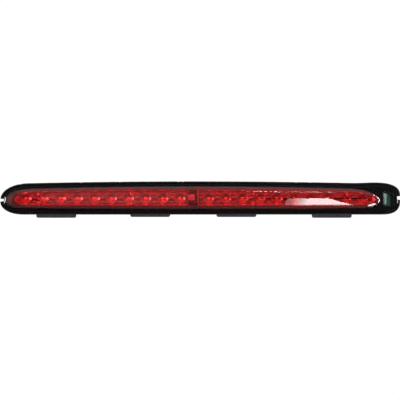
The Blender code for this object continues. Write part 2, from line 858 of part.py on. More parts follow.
def bank(shape, side, lip=0.0):
    """The half of a shape on one side of the bridge, squared off a lip away from it."""
    if side > 0:
        return shape._replace(left=BRIDGE_RIGHT + GAP + lip, caps_left=(0.0, 0.0))
    return shape._replace(right=BRIDGE_LEFT - GAP - lip, caps_right=(0.0, 0.0))


def turned(name, collection, profile, x, z, sides, mat=None):
    """Turns (radius, depth) points about a line along Y; the profile runs from front to back."""
    bm = bmesh.new()
    verts = [bm.verts.new((radius, 0.0, -depth)) for radius, depth in profile]
    for near, far in zip(verts, verts[1:]):
        bm.edges.new((near, far))
    mesh = bpy.data.meshes.new(name)
    bm.to_mesh(mesh)
    bm.free()
    obj = bpy.data.objects.new(name, mesh)
    collection.objects.link(obj)
    screw = obj.modifiers.new("Screw", "SCREW")
    screw.steps = sides
    screw.render_steps = sides
    screw.use_merge_vertices = True
    screw.merge_threshold = 0.00001
    obj.rotation_euler = (pi / 2, 0, 0)
    obj.location = (x, 0, z)
    if mat:
        mesh.materials.append(mat)
    return obj


def loft(name, collection, near, far):
    """A solid between two matching outlines, each given as (points, depth)."""
    bm = bmesh.new()
    rings = [[bm.verts.new((x, depth, z)) for x, z in points] for points, depth in (near, far)]
    join_rings(bm, *rings)
    bm.faces.new(rings[0])
    bm.faces.new(reversed(rings[1]))
    return mesh_object(name, bm, collection)


def peg_places():
    return [(x, side * PEG_Z) for x in PEG_X for side in (1, -1)]


def on_side(side):
    return [(x, z) for x, z in peg_places() if x * side > 0]


def group_in(parent, name):
    group = bpy.data.collections.new(name)
    parent.children.link(group)
    return group


def screw_seats(name, cutters, side):
    """The bosses to add to a reflector, and the recesses and holes to cut in it, as two groups."""
    bosses = group_in(cutters, f"{name}_bosses")
    clearances = group_in(cutters, f"{name}_clearances")
    for number, (x, z) in enumerate(on_side(side)):
        lifted = (x, REFLECTOR_RIM - OVERCUT, z)
        proud = (x, PEG_TOP - ROOT, z)
        front = (x, PEG_TOP, z)
        back = (x, REFLECTOR_BACK - GAP, z)
        beyond = (x, REFLECTOR_BACK + OVERCUT, z)
        shapes = (
            rod(f"{name}_boss_{number + 1}", bosses, proud, back, PEG_RADIUS),
            rod(f"{name}_recess_{number + 1}", clearances, lifted, front, PEG_RADIUS + PEG_CLEARANCE, 14),
            rod(f"{name}_screw_hole_{number + 1}", clearances, proud, beyond, BORE_RADIUS, 10),
        )
        for shape in shapes:
            hide_tool(shape)
    return bosses, clearances


def make_reflector(parts, cutters, side, name):
    """A metallised block: a trough with sloping sides, a round dish for each LED and screw bosses."""
    chrome = material("reflector_metal", (0.86, 0.86, 0.88), 0.12, metallic=1.0)
    edge = outline(bank(LENS, side), REFLECTOR_INSET)
    block = plate(name, parts, [edge], REFLECTOR_RIM, REFLECTOR_BACK, chrome)
    top = outline(bank(shrunk(LENS, TROUGH_TOP_SHARE), side, BRIDGE_LIP))
    floor = outline(bank(shrunk(LENS, TROUGH_FLOOR_SHARE), side, 2 * BRIDGE_LIP))
    levels = ((top, REFLECTOR_RIM - OVERCUT), (floor, REFLECTOR_FLOOR))
    boolean(block, "DIFFERENCE", loft(f"{name}_trough", cutters, *levels))
    dishes = group_in(cutters, f"{name}_dishes")
    for number, x in enumerate(led_places(side)):
        hide_tool(turned(f"{name}_dish_{number + 1}", dishes, DISH_PROFILE, x, 0.0, 16))
    boolean(block, "DIFFERENCE", dishes)
    bosses, clearances = screw_seats(name, cutters, side)
    boolean(block, "UNION", bosses)
    boolean(block, "DIFFERENCE", clearances)
    apply_all(block)
    smooth(block, 25)


def make_leds(parts, cutters):
    clear = material("led_epoxy", (0.8, 0.08, 0.06), 0.08, transmission=0.4)
    places = sorted(led_places(-1) + led_places(1))
    for number, x in enumerate(places):
        name = f"led_{number + 1:02d}"
        led = turned(name, parts, LED_PROFILE, x, 0.0, 10, clear)
        half = LED_BASE / 2
        back = BOARD_FRONT - GAP
        low = (x - half, back - LED_BASE_THICK, -half)
        boolean(led, "UNION", box(f"{name}_base", cutters, low, (x + half, back, half)))
        apply_all(led)
        smooth(led)


def make_boards(parts, cutters, side, name):
    """The bank's circuit board; the right one has a tail that runs into the connector pocket."""
    green = material("board_green", (0.02, 0.12, 0.07), 0.45)
    back = BOARD_FRONT + BOARD_THICK
    board = plate(name, parts, [outline(bank(LENS, side), BOARD_INSET)], BOARD_FRONT, back, green)
    holes = group_in(cutters, f"{name}_holes")
    if side > 0:
        boolean(board, "UNION", box(f"{name}_tail", cutters, TAIL_LOW, TAIL_HIGH))
        for pin_x in pin_places():
            hide_tool(pin_hole(f"{name}_pin_hole", holes, pin_x, BOARD_FRONT - OVERCUT, back + OVERCUT))
    for number, (x, z) in enumerate(on_side(side)):
        ends = ((x, BOARD_FRONT - OVERCUT, z), (x, back + OVERCUT, z))
        hide_tool(rod(f"{name}_screw_hole_{number + 1}", holes, *ends, BORE_RADIUS, 10))
    boolean(board, "DIFFERENCE", holes)
    apply_all(board)


def make_screws(parts):
    steel = material("screw_steel", (0.62, 0.62, 0.64), 0.3, metallic=1.0)
    for number, (x, z) in enumerate(peg_places()):
        smooth(turned(f"screw_{number + 1}", parts, SCREW_PROFILE, x, z, 10, steel))


# ---- Electronics in the connector end ----


def pin_places():
    return [SOCKET_X + side * PIN_PITCH / 2 for side in (-1, 1)]


def pin_hole(name, collection, x, front, back):
    reach = PIN_SIDE / 2 + GAP
    low = (x - reach, front, SOCKET_Z - reach)
    return box(name, collection, low, (x + reach, back, SOCKET_Z + reach))


def make_connector(parts, cutters):
    nylon = material("nylon", (0.05, 0.05, 0.055), 0.5)
    tin = material("tinned_pin", (0.75, 0.75, 0.73), 0.25, metallic=1.0)
    front = BOARD_FRONT + BOARD_THICK + GAP
    back = BACK_INNER - GAP
    low = (SOCKET_X - CARRIER_HALF[0], front, SOCKET_Z - CARRIER_HALF[1])
    high = (SOCKET_X + CARRIER_HALF[0], back, SOCKET_Z + CARRIER_HALF[1])
    carrier = box("pin_carrier", parts, low, high, nylon)
    bevel(carrier, 0.0004, 1)
    holes = group_in(cutters, "carrier_holes")
    half = PIN_SIDE / 2
    for number, x in enumerate(pin_places()):
        hide_tool(pin_hole(f"carrier_hole_{number + 1}", holes, x, front - OVERCUT, back + OVERCUT))
        low = (x - half, PIN_FRONT, SOCKET_Z - half)
        high = (x + half, PIN_TIP, SOCKET_Z + half)
        pin = box(f"contact_pin_{number + 1}", parts, low, high, tin)
        bevel(pin, 0.00025, 1)
    boolean(carrier, "DIFFERENCE", holes)


def flat_part(name, parts, place, front, back, mat):
    """A block on a board; place is its left, bottom, right and top."""
    left, bottom, right, top = place
    return box(name, parts, (left, front, bottom), (right, back, top), mat)


def make_electronics(parts):
    """Small parts soldered to the boards, and the ribbon that joins the boards behind the bridge."""
    black = material("epoxy_black", (0.02, 0.02, 0.022), 0.4)
    can = material("capacitor_can", (0.7, 0.7, 0.72), 0.3, metallic=1.0)
    amber = material("ribbon_amber", (0.55, 0.26, 0.05), 0.35)
    front = BOARD_FRONT - GAP
    rear = BOARD_FRONT + BOARD_THICK + GAP
    can_edge = ((CAPACITOR_RADIUS, CAPACITOR_FRONT), (CAPACITOR_RADIUS, front))
    can_profile = ((0.0, CAPACITOR_FRONT), *can_edge, (0.0, front))
    turned("capacitor", parts, can_profile, CAPACITOR_X, CAPACITOR_Z, 14, can)
    flat_part("diode", parts, DIODE, front - DIODE_THICK, front, black)
    for number, z in enumerate(RESISTOR_Z):
        place = (RESISTOR_LEFT, z - RESISTOR_HALF, RESISTOR_RIGHT, z + RESISTOR_HALF)
        flat_part(f"resistor_{number + 1}", parts, place, front - RESISTOR_THICK, front, black)
    flat_part("driver_chip", parts, CHIP, rear, rear + CHIP_THICK, black)
    ribbon = (BRIDGE_LEFT - RIBBON_REACH, -RIBBON_HALF, BRIDGE_RIGHT + RIBBON_REACH, RIBBON_HALF)
    flat_part("board_link", parts, ribbon, rear, rear + RIBBON_THICK, amber)


def make_breather_vent(parts):
    cap_black = material("vent_cap", (0.03, 0.03, 0.03), 0.6)
    smooth(turned("breather_vent", parts, VENT_PROFILE, VENT_X, 0.0, 16, cap_black))


# ---- Sprung clips ----


def arc(centre, radius, start, stop, steps):
    angles = [radians(start + (stop - start) * step / steps) for step in range(steps + 1)]
    return [(centre[0] + radius * cos(angle), centre[1] + radius * sin(angle)) for angle in angles]


def strip(points, thick):
    """The outline of a strip of sheet that follows a line of points."""
    sides = ([], [])
    for index, point in enumerate(points):
        before = Vector(points[max(index - 1, 0)])
        after = Vector(points[min(index + 1, len(points) - 1)])
        along = (after - before).normalized()
        for sign, edge in zip((1, -1), sides):
            edge.append((point[0] - sign * along.y * thick / 2, point[1] + sign * along.x * thick / 2))
    return sides[0] + sides[1][::-1]


def make_clip(parts, index):
    """One steel strip: a curl round the bar of its seat, then a leaf that rises to a crest and drops."""
    steel = material("spring_steel", (0.5, 0.5, 0.52), 0.3, metallic=1.0)
    x = STATIONS[index]
    centre = (CLIP_AXIS_Y, clip_axis_z(x))
    curl = arc(centre, CLIP_BAR_RADIUS + GAP + CLIP_STRIP / 2, 165, -90, 12)
    foot = centre[1] - CLIP_AXIS_LIFT
    leaf = [(y, foot + height) for y, height in CLIP_LEAF]
    curve = bpy.data.curves.new("clip", "CURVE")
    curve.dimensions = "2D"
    curve.fill_mode = "BOTH"
    curve.extrude = CLIP_WIDTH / 2
    spline = curve.splines.new("POLY")
    loop = strip(curl + leaf, CLIP_STRIP)
    spline.points.add(len(loop) - 1)
    for point, (y, z) in zip(spline.points, loop):
        point.co = (y, z, 0.0, 1.0)
    spline.use_cyclic_u = True
    drawn = bpy.data.objects.new("clip", curve)
    parts.objects.link(drawn)
    drawn.matrix_world = Matrix(((0, 0, 1, x), (1, 0, 0, 0), (0, 1, 0, 0), (0, 0, 0, 1)))
    clip = curve_to_mesh(drawn, f"retaining_clip_{index + 1}", parts, steel)
    smooth(clip, 30)


# ---- Build ----


def build():
    clear_scene()
    parts = new_collection("third_brake_light")
    cutters = new_collection("cutters")
    make_housing(parts, cutters)
    make_outer_lens(parts)
    make_seals(parts, cutters)
    make_end_window(parts, cutters)
    make_inner_bezel(parts, cutters)
    make_reflector(parts, cutters, -1, "reflector_left")
    make_reflector(parts, cutters, 1, "reflector_right")
    make_leds(parts, cutters)
    make_boards(parts, cutters, -1, "circuit_board_left")
    make_boards(parts, cutters, 1, "circuit_board_right")
    make_screws(parts)
    make_connector(parts, cutters)
    make_electronics(parts)
    make_breather_vent(parts)
    for index in range(len(STATIONS)):
        make_clip(parts, index)


build()
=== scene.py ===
"""Looks for the third brake light: finer visible pieces, materials, studio and camera.

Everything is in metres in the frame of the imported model.
The lamp faces -Y, X runs along it, and Z is up.
"""

import json
from collections import namedtuple
from math import cos, pi, radians, sin

import bmesh
import bpy
import numpy as np
from mathutils import Matrix, Vector, noise

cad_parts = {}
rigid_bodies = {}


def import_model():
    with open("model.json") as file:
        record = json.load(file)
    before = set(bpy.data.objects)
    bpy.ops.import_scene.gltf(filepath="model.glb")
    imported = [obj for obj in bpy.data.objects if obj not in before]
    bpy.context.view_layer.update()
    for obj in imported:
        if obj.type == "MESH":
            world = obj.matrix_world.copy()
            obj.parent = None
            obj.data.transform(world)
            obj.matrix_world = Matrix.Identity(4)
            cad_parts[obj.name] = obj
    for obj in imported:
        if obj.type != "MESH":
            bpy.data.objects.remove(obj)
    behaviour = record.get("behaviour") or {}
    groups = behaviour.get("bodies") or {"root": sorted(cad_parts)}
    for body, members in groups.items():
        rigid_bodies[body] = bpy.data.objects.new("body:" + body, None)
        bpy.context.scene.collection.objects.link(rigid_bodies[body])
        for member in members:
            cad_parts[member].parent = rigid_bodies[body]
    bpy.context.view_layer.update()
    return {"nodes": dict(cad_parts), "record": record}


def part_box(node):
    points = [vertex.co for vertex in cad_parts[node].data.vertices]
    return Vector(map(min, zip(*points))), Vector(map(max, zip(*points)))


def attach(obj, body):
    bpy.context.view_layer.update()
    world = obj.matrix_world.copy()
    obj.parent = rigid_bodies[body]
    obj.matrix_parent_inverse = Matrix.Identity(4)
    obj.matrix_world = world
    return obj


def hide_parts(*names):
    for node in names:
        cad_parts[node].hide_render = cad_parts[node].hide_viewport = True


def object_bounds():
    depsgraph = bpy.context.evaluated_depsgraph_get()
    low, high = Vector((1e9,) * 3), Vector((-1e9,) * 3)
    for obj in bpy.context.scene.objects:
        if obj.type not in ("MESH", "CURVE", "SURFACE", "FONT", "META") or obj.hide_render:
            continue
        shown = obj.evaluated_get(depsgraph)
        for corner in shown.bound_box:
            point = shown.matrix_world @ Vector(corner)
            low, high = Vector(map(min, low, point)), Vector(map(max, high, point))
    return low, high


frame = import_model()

NODES = frame["nodes"]

# ---- Dimensions of the stand-ins, in metres ----

LENS_LEFT = -0.2018
LENS_RIGHT = 0.2012
LENS_TOP = 0.0140
LENS_BOTTOM = -0.0122
LENS_MIDDLE = 0.0008  # height that the crown's rings draw in towards
LENS_CAPS = ((0.028, 0.017), (0.033, 0.020))  # left and right ends: upper and lower lengths
LENS_RUNS = (0.027, 0.018)  # how far each end of the crown's rings draws in by the time they close
LENS_TIPS = (-0.0018, -0.0018)  # heights of the ends' outermost points
LENS_POWERS = (2.4, 2.0)  # how square the ends are; 2 is an ellipse
LENS_TOP_RADIUS = 6.7  # the long edges bow very slightly
LENS_BOTTOM_RADIUS = 18.0
LENS_FOOT = 0.0004
LENS_SHOULDER = -0.0033
LENS_CROWN = -0.01095
LENS_WALL = 0.0022
LENS_LEVELS = (  # the shell's rings, as shares of the way from its edge to its middle line
    (0.0, 0.004, 0.015, 0.035, 0.065, 0.1, 0.15, 0.21)
    + (0.28, 0.36, 0.45, 0.55, 0.66, 0.78, 0.9, 0.97)
)
INNER_LEVELS = 14  # how many of them the inside has
CROWN_POWER = 2.4  # the crown's section is this superellipse from the starting share on
CROWN_START = 0.18

BODY_LEFT = -0.2086
BODY_RIGHT = 0.2215
BODY_TOP = 0.0185
BODY_BOTTOM = -0.0174
BODY_TOP_RADIUS = 8.0
BODY_CAPS = ((0.0310, 0.0258), (0.023, 0.023))
BODY_TIPS = (-0.0026, 0.0003)
BODY_POWERS = (2.2, 3.0)
POCKET_RISE = 0.0012  # the top edge swells over the connector end
POCKET_RISE_X = 0.196
POCKET_RISE_WIDTH = 0.016

BEAD = 0.0024
BEAD_FRONT = -0.0026
BEAD_ARC_STEPS = 10
BEAD_STEPS = (420, 56)  # points along each long edge, and round each half of a rounded end
LIP = 0.0035  # how far in the lip behind the flange reaches
LIP_STEP = 0.0001  # how far the lip starts beyond the bead
GAP = 0.0003
GASKET_BACK = 0.0026
GASKET_EDGE = (  # (inset, depth)
    (0.0011, GASKET_BACK),
    (0.0005, 0.0022),
    (0.0002, 0.0012),
    (0.0, 0.0),
)
EDGE_SKIN = 0.0001  # keeps the bead's rough skin inside the silhouette
SKIN_HEIGHT = 0.00007
SKIN_SCALE = 900.0
SKIN_SINK = 0.5  # share of the skin's height that also goes into the depth
NICK_X = (-0.1865, -0.1217, -0.0798, -0.0170, -0.0122, 0.1094, 0.1245)
NICK_DEPTH = 0.00045
NICK_WIDTH = 0.0007
SLOT_LEFT_Z = -0.0016
SLOT_RIGHT_Z = 0.0008
SLOT_HALF_HEIGHT = 0.0014
SLIT_LOW = (0.2182, -0.0036, -0.0049)  # a cut in the lower bead's right end
SLIT_HIGH = (0.2190, 0.0036, 0.0)

WINDOW_CORNER = 0.0035
WINDOW_BACK = -0.0011
WINDOW_ROUNDING = 0.0006
ROUNDING_SHARES = ((0.0, 1.0), (0.1, 0.6), (0.3, 0.3), (0.6, 0.1), (1.0, 0.0))  # (inset, depth)
RIB_GAP = 0.00005
RIB_LOW = (0.2042, WINDOW_BACK + RIB_GAP, -0.0062)
RIB_HIGH = (0.2064, 0.0060, 0.0054)
RIB_ROUNDING = (0.0003, 3)  # (width, steps), as for the other roundings

BEZEL_SHARE = 0.34  # how far its mouth shrinks from the lens edge to its middle line
BEZEL_INSET = 0.0026
BEZEL_FRONT = 0.0008
BEZEL_CHAMFER = 0.0004
BEZEL_BACK = 0.0018
BRIDGE_LEFT = -0.0072
BRIDGE_RIGHT = 0.0046
# The bridge's bright strips and block carry painted highlights: their light grey colour stands in
# for the light that the strips' edges and the plated block catch.
BRIDGE_STRIPS = ((-0.0072, -0.0066), (0.0036, 0.0046))  # left and right sides of each bright strip
BRIDGE_LIFT = 0.0002  # how far the strips stand in front of the frame
BRIDGE_BLOCK = ((-0.0063, -0.0008, -0.0024), (0.0006, BEZEL_FRONT + GAP, 0.0048))
BLOCK_FACE = ((-0.0050, -0.0011, -0.0012), (-0.0008, BEZEL_FRONT + GAP, 0.0036))
BRIDGE_ROUNDING = (0.0002, 2)

REFLECTOR_SHARE = 0.22  # as for the bezel's mouth
REFLECTOR_RIM = 0.0021
REFLECTOR_FLOOR = 0.0055
REFLECTOR_WALL = 0.0007
REFLECTOR_NET = (470, 61)  # points along the bank and across it
NET_MERGE = 0.00002
REACH_POWER = 2.4
SLOPE_REACH = (0.56, 0.70)  # where the sides start and end, 1 being the lens's edge
HOLLOWS = ((0.0032, 0.0019), (-0.0034, 0.0018))  # (height, half width) of the ovals between LEDs
HOLLOW_HALF_LENGTH = 0.0040
HOLLOW_DEPTH = 0.0003
HOLLOW_RIM = 0.3  # share of the oval that is flat
RIDGE_Z = -0.0005
RIDGE_HEIGHT = 0.00045
RIDGE_WIDTH = 0.00055
DISH_RADIUS = 0.0062
DISH_SINK = 0.0018
DISH_HOLE = 0.0027
FLUTES = 12
FLUTE_HEIGHT = 0.00005

LED_PITCH = 0.0184
LED_FIRST = 0.01555
LEDS_PER_BANK = 10
LED_RADIUS = 0.0025
LED_TIP_Y = 0.0062
LED_FLARE = 0.0004
LED_FLARE_HEIGHT = 0.0001
DOME_STEPS = 8
ROUND_SIDES = 24  # of a dome or a screw
DOME_BACK = 0.0105
LED_BASE = 0.0076
LED_BASE_FRONT = 0.0106
LED_BACK = 0.0127
BASE_ROUNDING = (0.0003, 2)

PEG_X = (-0.1656, -0.0656, 0.0656, 0.1656)  # a screw above and one below at each
PEG_Z = 0.0060
PEG_RADIUS = 0.0024
PEG_TOP = 0.0038
PEG_SKIRT = (-0.0001, 0.0004)  # where the boss's edge starts and ends, past its radius
SCREW_PROFILE = (  # (radius, depth) from the head's middle to the tip
    (0.0, 0.0021),
    (0.0010, 0.0021),
    (0.0016, 0.0023),
    (0.0020, 0.0027),
    (0.0021, 0.0031),
    (0.0021, 0.0035),
    (0.0010, 0.0035),
    (0.0010, 0.0165),
    (0.0, 0.0174),
)
CROSS_ARMS = ((0.0012, 0.00025), (0.00025, 0.0012))  # half sizes along X and Z
CROSS_FRONT = 0.0015
CROSS_BACK = 0.0027

Shape = namedtuple("Shape", "left right caps runs tips top bottom powers")


def lens_top(x):
    return LENS_TOP - x * x / (2 * LENS_TOP_RADIUS)


def lens_bottom(x):
    return LENS_BOTTOM + x * x / (2 * LENS_BOTTOM_RADIUS)


def body_top(x):
    swell = POCKET_RISE * np.exp(-(((x - POCKET_RISE_X) / POCKET_RISE_WIDTH) ** 2))
    return BODY_TOP - x * x / (2 * BODY_TOP_RADIUS) + swell


def body_bottom(x):
    """A straight edge; for an array of places it gives as many heights."""
    return BODY_BOTTOM + 0 * x


LENS = Shape(
    LENS_LEFT, LENS_RIGHT, LENS_CAPS, LENS_RUNS, LENS_TIPS, lens_top, lens_bottom, LENS_POWERS
)
BODY = Shape(
    BODY_LEFT, BODY_RIGHT, BODY_CAPS, (0.0, 0.0), BODY_TIPS, body_top, body_bottom, BODY_POWERS
)


# ---- Outlines and meshes ----


def shrunk(shape, share):
    """The outline drawn in towards the lens's middle line by a share of the way."""
    keep = 1 - share

    def drawn_in(z):
        return LENS_MIDDLE + (z - LENS_MIDDLE) * keep

    return shape._replace(
        left=shape.left + share * shape.runs[0],
        right=shape.right - share * shape.runs[1],
        caps=[[length * keep for length in pair] for pair in shape.caps],
        tips=[drawn_in(tip) for tip in shape.tips],
        top=lambda x: drawn_in(shape.top(x)),
        bottom=lambda x: drawn_in(shape.bottom(x)),
    )


def cap_points(shape, side, steps):
    """A rounded end from the top edge over the tip to the bottom edge."""
    index = 1 if side > 0 else 0
    end = shape.right if side > 0 else shape.left
    angles = pi / 2 - pi * np.arange(1, 2 * steps) / (2 * steps)
    power = 2 / shape.powers[index]
    lengths = np.where(angles >= 0, *shape.caps[index])
    x = end - side * lengths * (1 - np.abs(np.cos(angles)) ** power)
    edge = np.where(angles >= 0, shape.top(x), shape.bottom(x))
    z = shape.tips[index] + (edge - shape.tips[index]) * np.abs(np.sin(angles)) ** power
    return np.stack([x, z], 1)


def outline(shape, inset=0.0, edge_steps=120, cap_steps=26):
    """The closed outline as rows of (x, z), clockwise from the front, moved in by inset."""
    starts = [shape.left + length for length in shape.caps[0]]
    stops = [shape.right - length for length in shape.caps[1]]
    above, below = (np.linspace(*ends, edge_steps + 1) for ends in zip(starts, stops))
    top = np.stack([above, shape.top(above)], 1)
    bottom = np.stack([below, shape.bottom(below)], 1)[::-1]
    left = cap_points(shape, -1, cap_steps)[::-1]
    points = np.concatenate([top, cap_points(shape, 1, cap_steps), bottom, left])
    along = np.roll(points, -1, 0) - np.roll(points, 1, 0)
    along /= np.linalg.norm(along, axis=1)[:, None]
    return points + inset * np.stack([along[:, 1], -along[:, 0]], 1)


def rounded_rectangle(low, high, radius, steps=8):
    """A closed outline as rows of (x, z), clockwise seen from the front."""
    points = []
    for x, z, start in (
        (high[0] - radius, high[1] - radius, pi / 2),
        (high[0] - radius, low[1] + radius, 0.0),
        (low[0] + radius, low[1] + radius, -pi / 2),
        (low[0] + radius, high[1] - radius, -pi),
    ):
        for step in range(steps + 1):
            angle = start - pi / 2 * step / steps
            points.append((x + radius * cos(angle), z + radius * sin(angle)))
    return np.array(points)


def finished(name, bm, nodes, body="lamp", angle=40.0):
    """Turns a bmesh into a piece that rides on a body and stands for CAD nodes."""
    bmesh.ops.recalc_face_normals(bm, faces=bm.faces[:])
    mesh = bpy.data.meshes.new(name)
    bm.to_mesh(mesh)
    bm.free()
    mesh.shade_smooth()
    mesh.set_sharp_from_angle(angle=radians(angle))
    piece = bpy.data.objects.new(name, mesh)
    bpy.context.scene.collection.objects.link(piece)
    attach(piece, body)
    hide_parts(*nodes)
    return piece


def add_ring(bm, points, depth):
    return [bm.verts.new((x, depth, z)) for x, z in points]


def join_rings(bm, near, far, closed=True):
    for index in range(0 if closed else 1, len(near)):
        before = index - 1
        bm.faces.new((near[before], near[index], far[index], far[before]))


def add_box(bm, low, high):
    size = Vector(high) - Vector(low)
    middle = (Vector(high) + Vector(low)) / 2
    placing = Matrix.Translation(middle) @ Matrix.Diagonal((*size, 1.0))
    return bmesh.ops.create_cube(bm, size=1.0, matrix=placing)["verts"]


def soften(bm, width, steps):
    """Rounds every edge."""
    bmesh.ops.bevel(
        bm, geom=bm.edges[:], offset=width, segments=steps, affect="EDGES", profile=0.5
    )


def add_turned(bm, profile, x, z, sides):
    """Turns (radius, depth) points about a line along Y; both ends close on the axis."""
    turn = [2 * pi * step / sides for step in range(sides)]
    rings = []
    for radius, depth in profile:
        if radius == 0:
            rings.append([bm.verts.new((x, depth, z))] * sides)
        else:
            round_it = [(x + radius * cos(angle), z + radius * sin(angle)) for angle in turn]
            rings.append(add_ring(bm, round_it, depth))
    for near, far in zip(rings, rings[1:]):
        for index in range(sides):
            corners = (near[index - 1], near[index], far[index], far[index - 1])
            bm.faces.new(dict.fromkeys(corners))


def apply_modifiers(piece):
    """Replaces the piece's mesh by its evaluated mesh."""
    bpy.context.view_layer.update()
    graph = bpy.context.evaluated_depsgraph_get()
    piece.data = bpy.data.meshes.new_from_object(piece.evaluated_get(graph))
    piece.modifiers.clear()


def cut_out(piece, boxes):
    """Takes boxes, each given by two corners, out of a piece."""
    tools = []
    for low, high in boxes:
        bm = bmesh.new()
        add_box(bm, low, high)
        mesh = bpy.data.meshes.new("cutter")
        bm.to_mesh(mesh)
        bm.free()
        tool = bpy.data.objects.new("cutter", mesh)
        bpy.context.scene.collection.objects.link(tool)
        tools.append(tool)
        cut = piece.modifiers.new("Cut", "BOOLEAN")
        cut.operation = "DIFFERENCE"
        cut.solver = "EXACT"
        cut.object = tool
    apply_modifiers(piece)
    for tool in tools:
        bpy.data.objects.remove(tool, do_unlink=True)


def hide_from(thing, *kinds):
    """Hides an object from some kinds of ray."""
    for kind in kinds:
        setattr(thing, f"visible_{kind}", False)


# ---- Materials ----

ACRYLIC_IOR = 1.49
GLOSS_ENDS = (0.0002, 0.0012)  # depths between which the moulding turns from polished to grained
MIX_COLOURS = (6, 7)  # the colour mix node's own sockets for its two colours


def new_material(name, **values):
    """A Principled material; returns it with its node tree and shader."""
    made = bpy.data.materials.new(name)
    made.use_nodes = True
    shader = made.node_tree.nodes["Principled BSDF"]
    for key, value in values.items():
        socket = shader.inputs[key.replace("_", " ")]
        socket.default_value = (*value, 1.0) if isinstance(value, tuple) else value
    return made, made.node_tree, shader


def node(tree, kind, **settings):
    made = tree.nodes.new(kind)
    for key, value in settings.items():
        if key in made.inputs:
            made.inputs[key].default_value = value
        else:
            setattr(made, key, value)
    return made


def position(tree, scale=(1.0, 1.0, 1.0)):
    """The place on the piece in metres, stretched by scale."""
    coords = node(tree, "ShaderNodeTexCoord")
    mapping = node(tree, "ShaderNodeMapping")
    mapping.inputs["Scale"].default_value = scale
    tree.links.new(coords.outputs["Object"], mapping.inputs["Vector"])
    return mapping.outputs["Vector"]


def noise_at(tree, scale, detail=3.0, stretch=(1.0, 1.0, 1.0)):
    made = node(tree, "ShaderNodeTexNoise", Scale=scale, Detail=detail)
    tree.links.new(position(tree, stretch), made.inputs["Vector"])
    return made.outputs["Fac"]


def ramp(tree, value, low, high, from_value=0.3, to_value=0.7):
    """A value mapped to the range from low to high."""
    made = node(tree, "ShaderNodeMapRange")
    made.inputs["From Min"].default_value = from_value
    made.inputs["From Max"].default_value = to_value
    made.inputs["To Min"].default_value = low
    made.inputs["To Max"].default_value = high
    tree.links.new(value, made.inputs["Value"])
    return made.outputs["Result"]


def axis_of(tree, axis, kind="Object"):
    """The place along one axis."""
    coords = node(tree, "ShaderNodeTexCoord")
    parts = node(tree, "ShaderNodeSeparateXYZ")
    tree.links.new(coords.outputs[kind], parts.inputs["Vector"])
    return parts.outputs[axis]


def math_of(tree, operation, first, *others):
    """Joins values by one operation, two at a time."""
    for other in others:
        made = node(tree, "ShaderNodeMath", operation=operation)
        tree.links.new(first, made.inputs[0])
        tree.links.new(other, made.inputs[1])
        first = made.outputs[0]
    return first


def mix_of(tree, factor, first, second):
    """A value between two values."""
    made = node(tree, "ShaderNodeMix")
    for value, name in ((factor, "Factor"), (first, "A"), (second, "B")):
        tree.links.new(value, made.inputs[name])
    return made.outputs["Result"]


def colour_over(tree, factor, base, over):
    """A plain colour with a varying one over it."""
    made = node(tree, "ShaderNodeMix", data_type="RGBA")
    made.inputs[MIX_COLOURS[0]].default_value = (*base, 1.0)
    tree.links.new(over, made.inputs[MIX_COLOURS[1]])
    tree.links.new(factor, made.inputs[0])
    return made.outputs[2]


def blend(tree, value, low, high, from_value=0.35, to_value=0.65):
    """A colour between two colours, by a value."""
    made = node(tree, "ShaderNodeValToRGB")
    stops = made.color_ramp.elements
    stops[0].position, stops[1].position = from_value, to_value
    stops[0].color, stops[1].color = (*low, 1.0), (*high, 1.0)
    tree.links.new(value, made.inputs["Fac"])
    return made.outputs["Color"]


def bump(tree, shader, height, distance, strength=1.0):
    made = node(tree, "ShaderNodeBump", Strength=strength, Distance=distance)
    tree.links.new(height, made.inputs["Height"])
    tree.links.new(made.outputs["Normal"], shader.inputs["Normal"])


def gloss_plastic():
    """Black moulding: polished in front, grained on the hooks and behind."""
    made, tree, shader = new_material("gloss_black_moulding", Specular_IOR_Level=0.5)
    behind = ramp(tree, axis_of(tree, "Y"), 0.0, 1.0, *GLOSS_ENDS)
    smudges = ramp(tree, noise_at(tree, 60.0), 0.07, 0.16)
    grain = ramp(tree, noise_at(tree, 900.0, 2.0), 0.42, 0.6)
    tree.links.new(mix_of(tree, behind, smudges, grain), shader.inputs["Roughness"])
    greys = blend(tree, noise_at(tree, 400.0), (0.036, 0.036, 0.039), (0.054, 0.052, 0.058))
    colour = colour_over(tree, behind, (0.003, 0.003, 0.0035), greys)
    tree.links.new(colour, shader.inputs["Base Color"])
    height = math_of(tree, "MULTIPLY", noise_at(tree, 1500.0, 2.0), behind)
    bump(tree, shader, height, 0.00005, 0.5)
    return made


def foam_rubber():
    """Sponge rubber: fine open cells whose skins carry painted highlights, light grey specks
    standing in for the light they catch.
    """
    made, tree, shader = new_material("foam_rubber", Specular_IOR_Level=0.35)
    cells = node(tree, "ShaderNodeTexVoronoi", Scale=1100.0)
    tree.links.new(position(tree), cells.inputs["Vector"])
    # The first, light grey colour is a painted highlight on the cell skins; the second is the
    # rubber's own dark colour.
    painted_glint_colour, dark = (0.085, 0.088, 0.092), (0.009, 0.010, 0.012)
    painted_glints = blend(tree, cells.outputs["Distance"], painted_glint_colour, dark, 0.1, 0.42)
    patches = ramp(tree, noise_at(tree, 260.0), 0.25, 1.0, 0.42, 0.62)
    colour = colour_over(tree, patches, (0.011, 0.012, 0.014), painted_glints)
    tree.links.new(colour, shader.inputs["Base Color"])
    tree.links.new(ramp(tree, noise_at(tree, 500.0), 0.5, 0.8), shader.inputs["Roughness"])
    bump(tree, shader, cells.outputs["Distance"], 0.00012, 0.6)
    return made


def clear_plastic(name, tint, low, high):
    """Moulded clear plastic: polished, with faint flow lines and smudges."""
    made, tree, shader = new_material(
        name, Base_Color=tint, Transmission_Weight=1.0, IOR=ACRYLIC_IOR
    )
    flow = noise_at(tree, 40.0, 2.0, (0.25, 1.0, 1.0))
    tree.links.new(ramp(tree, flow, low, high), shader.inputs["Roughness"])
    bump(tree, shader, noise_at(tree, 90.0, 1.0, (0.3, 1.0, 1.0)), 0.00003, 0.25)
    return made


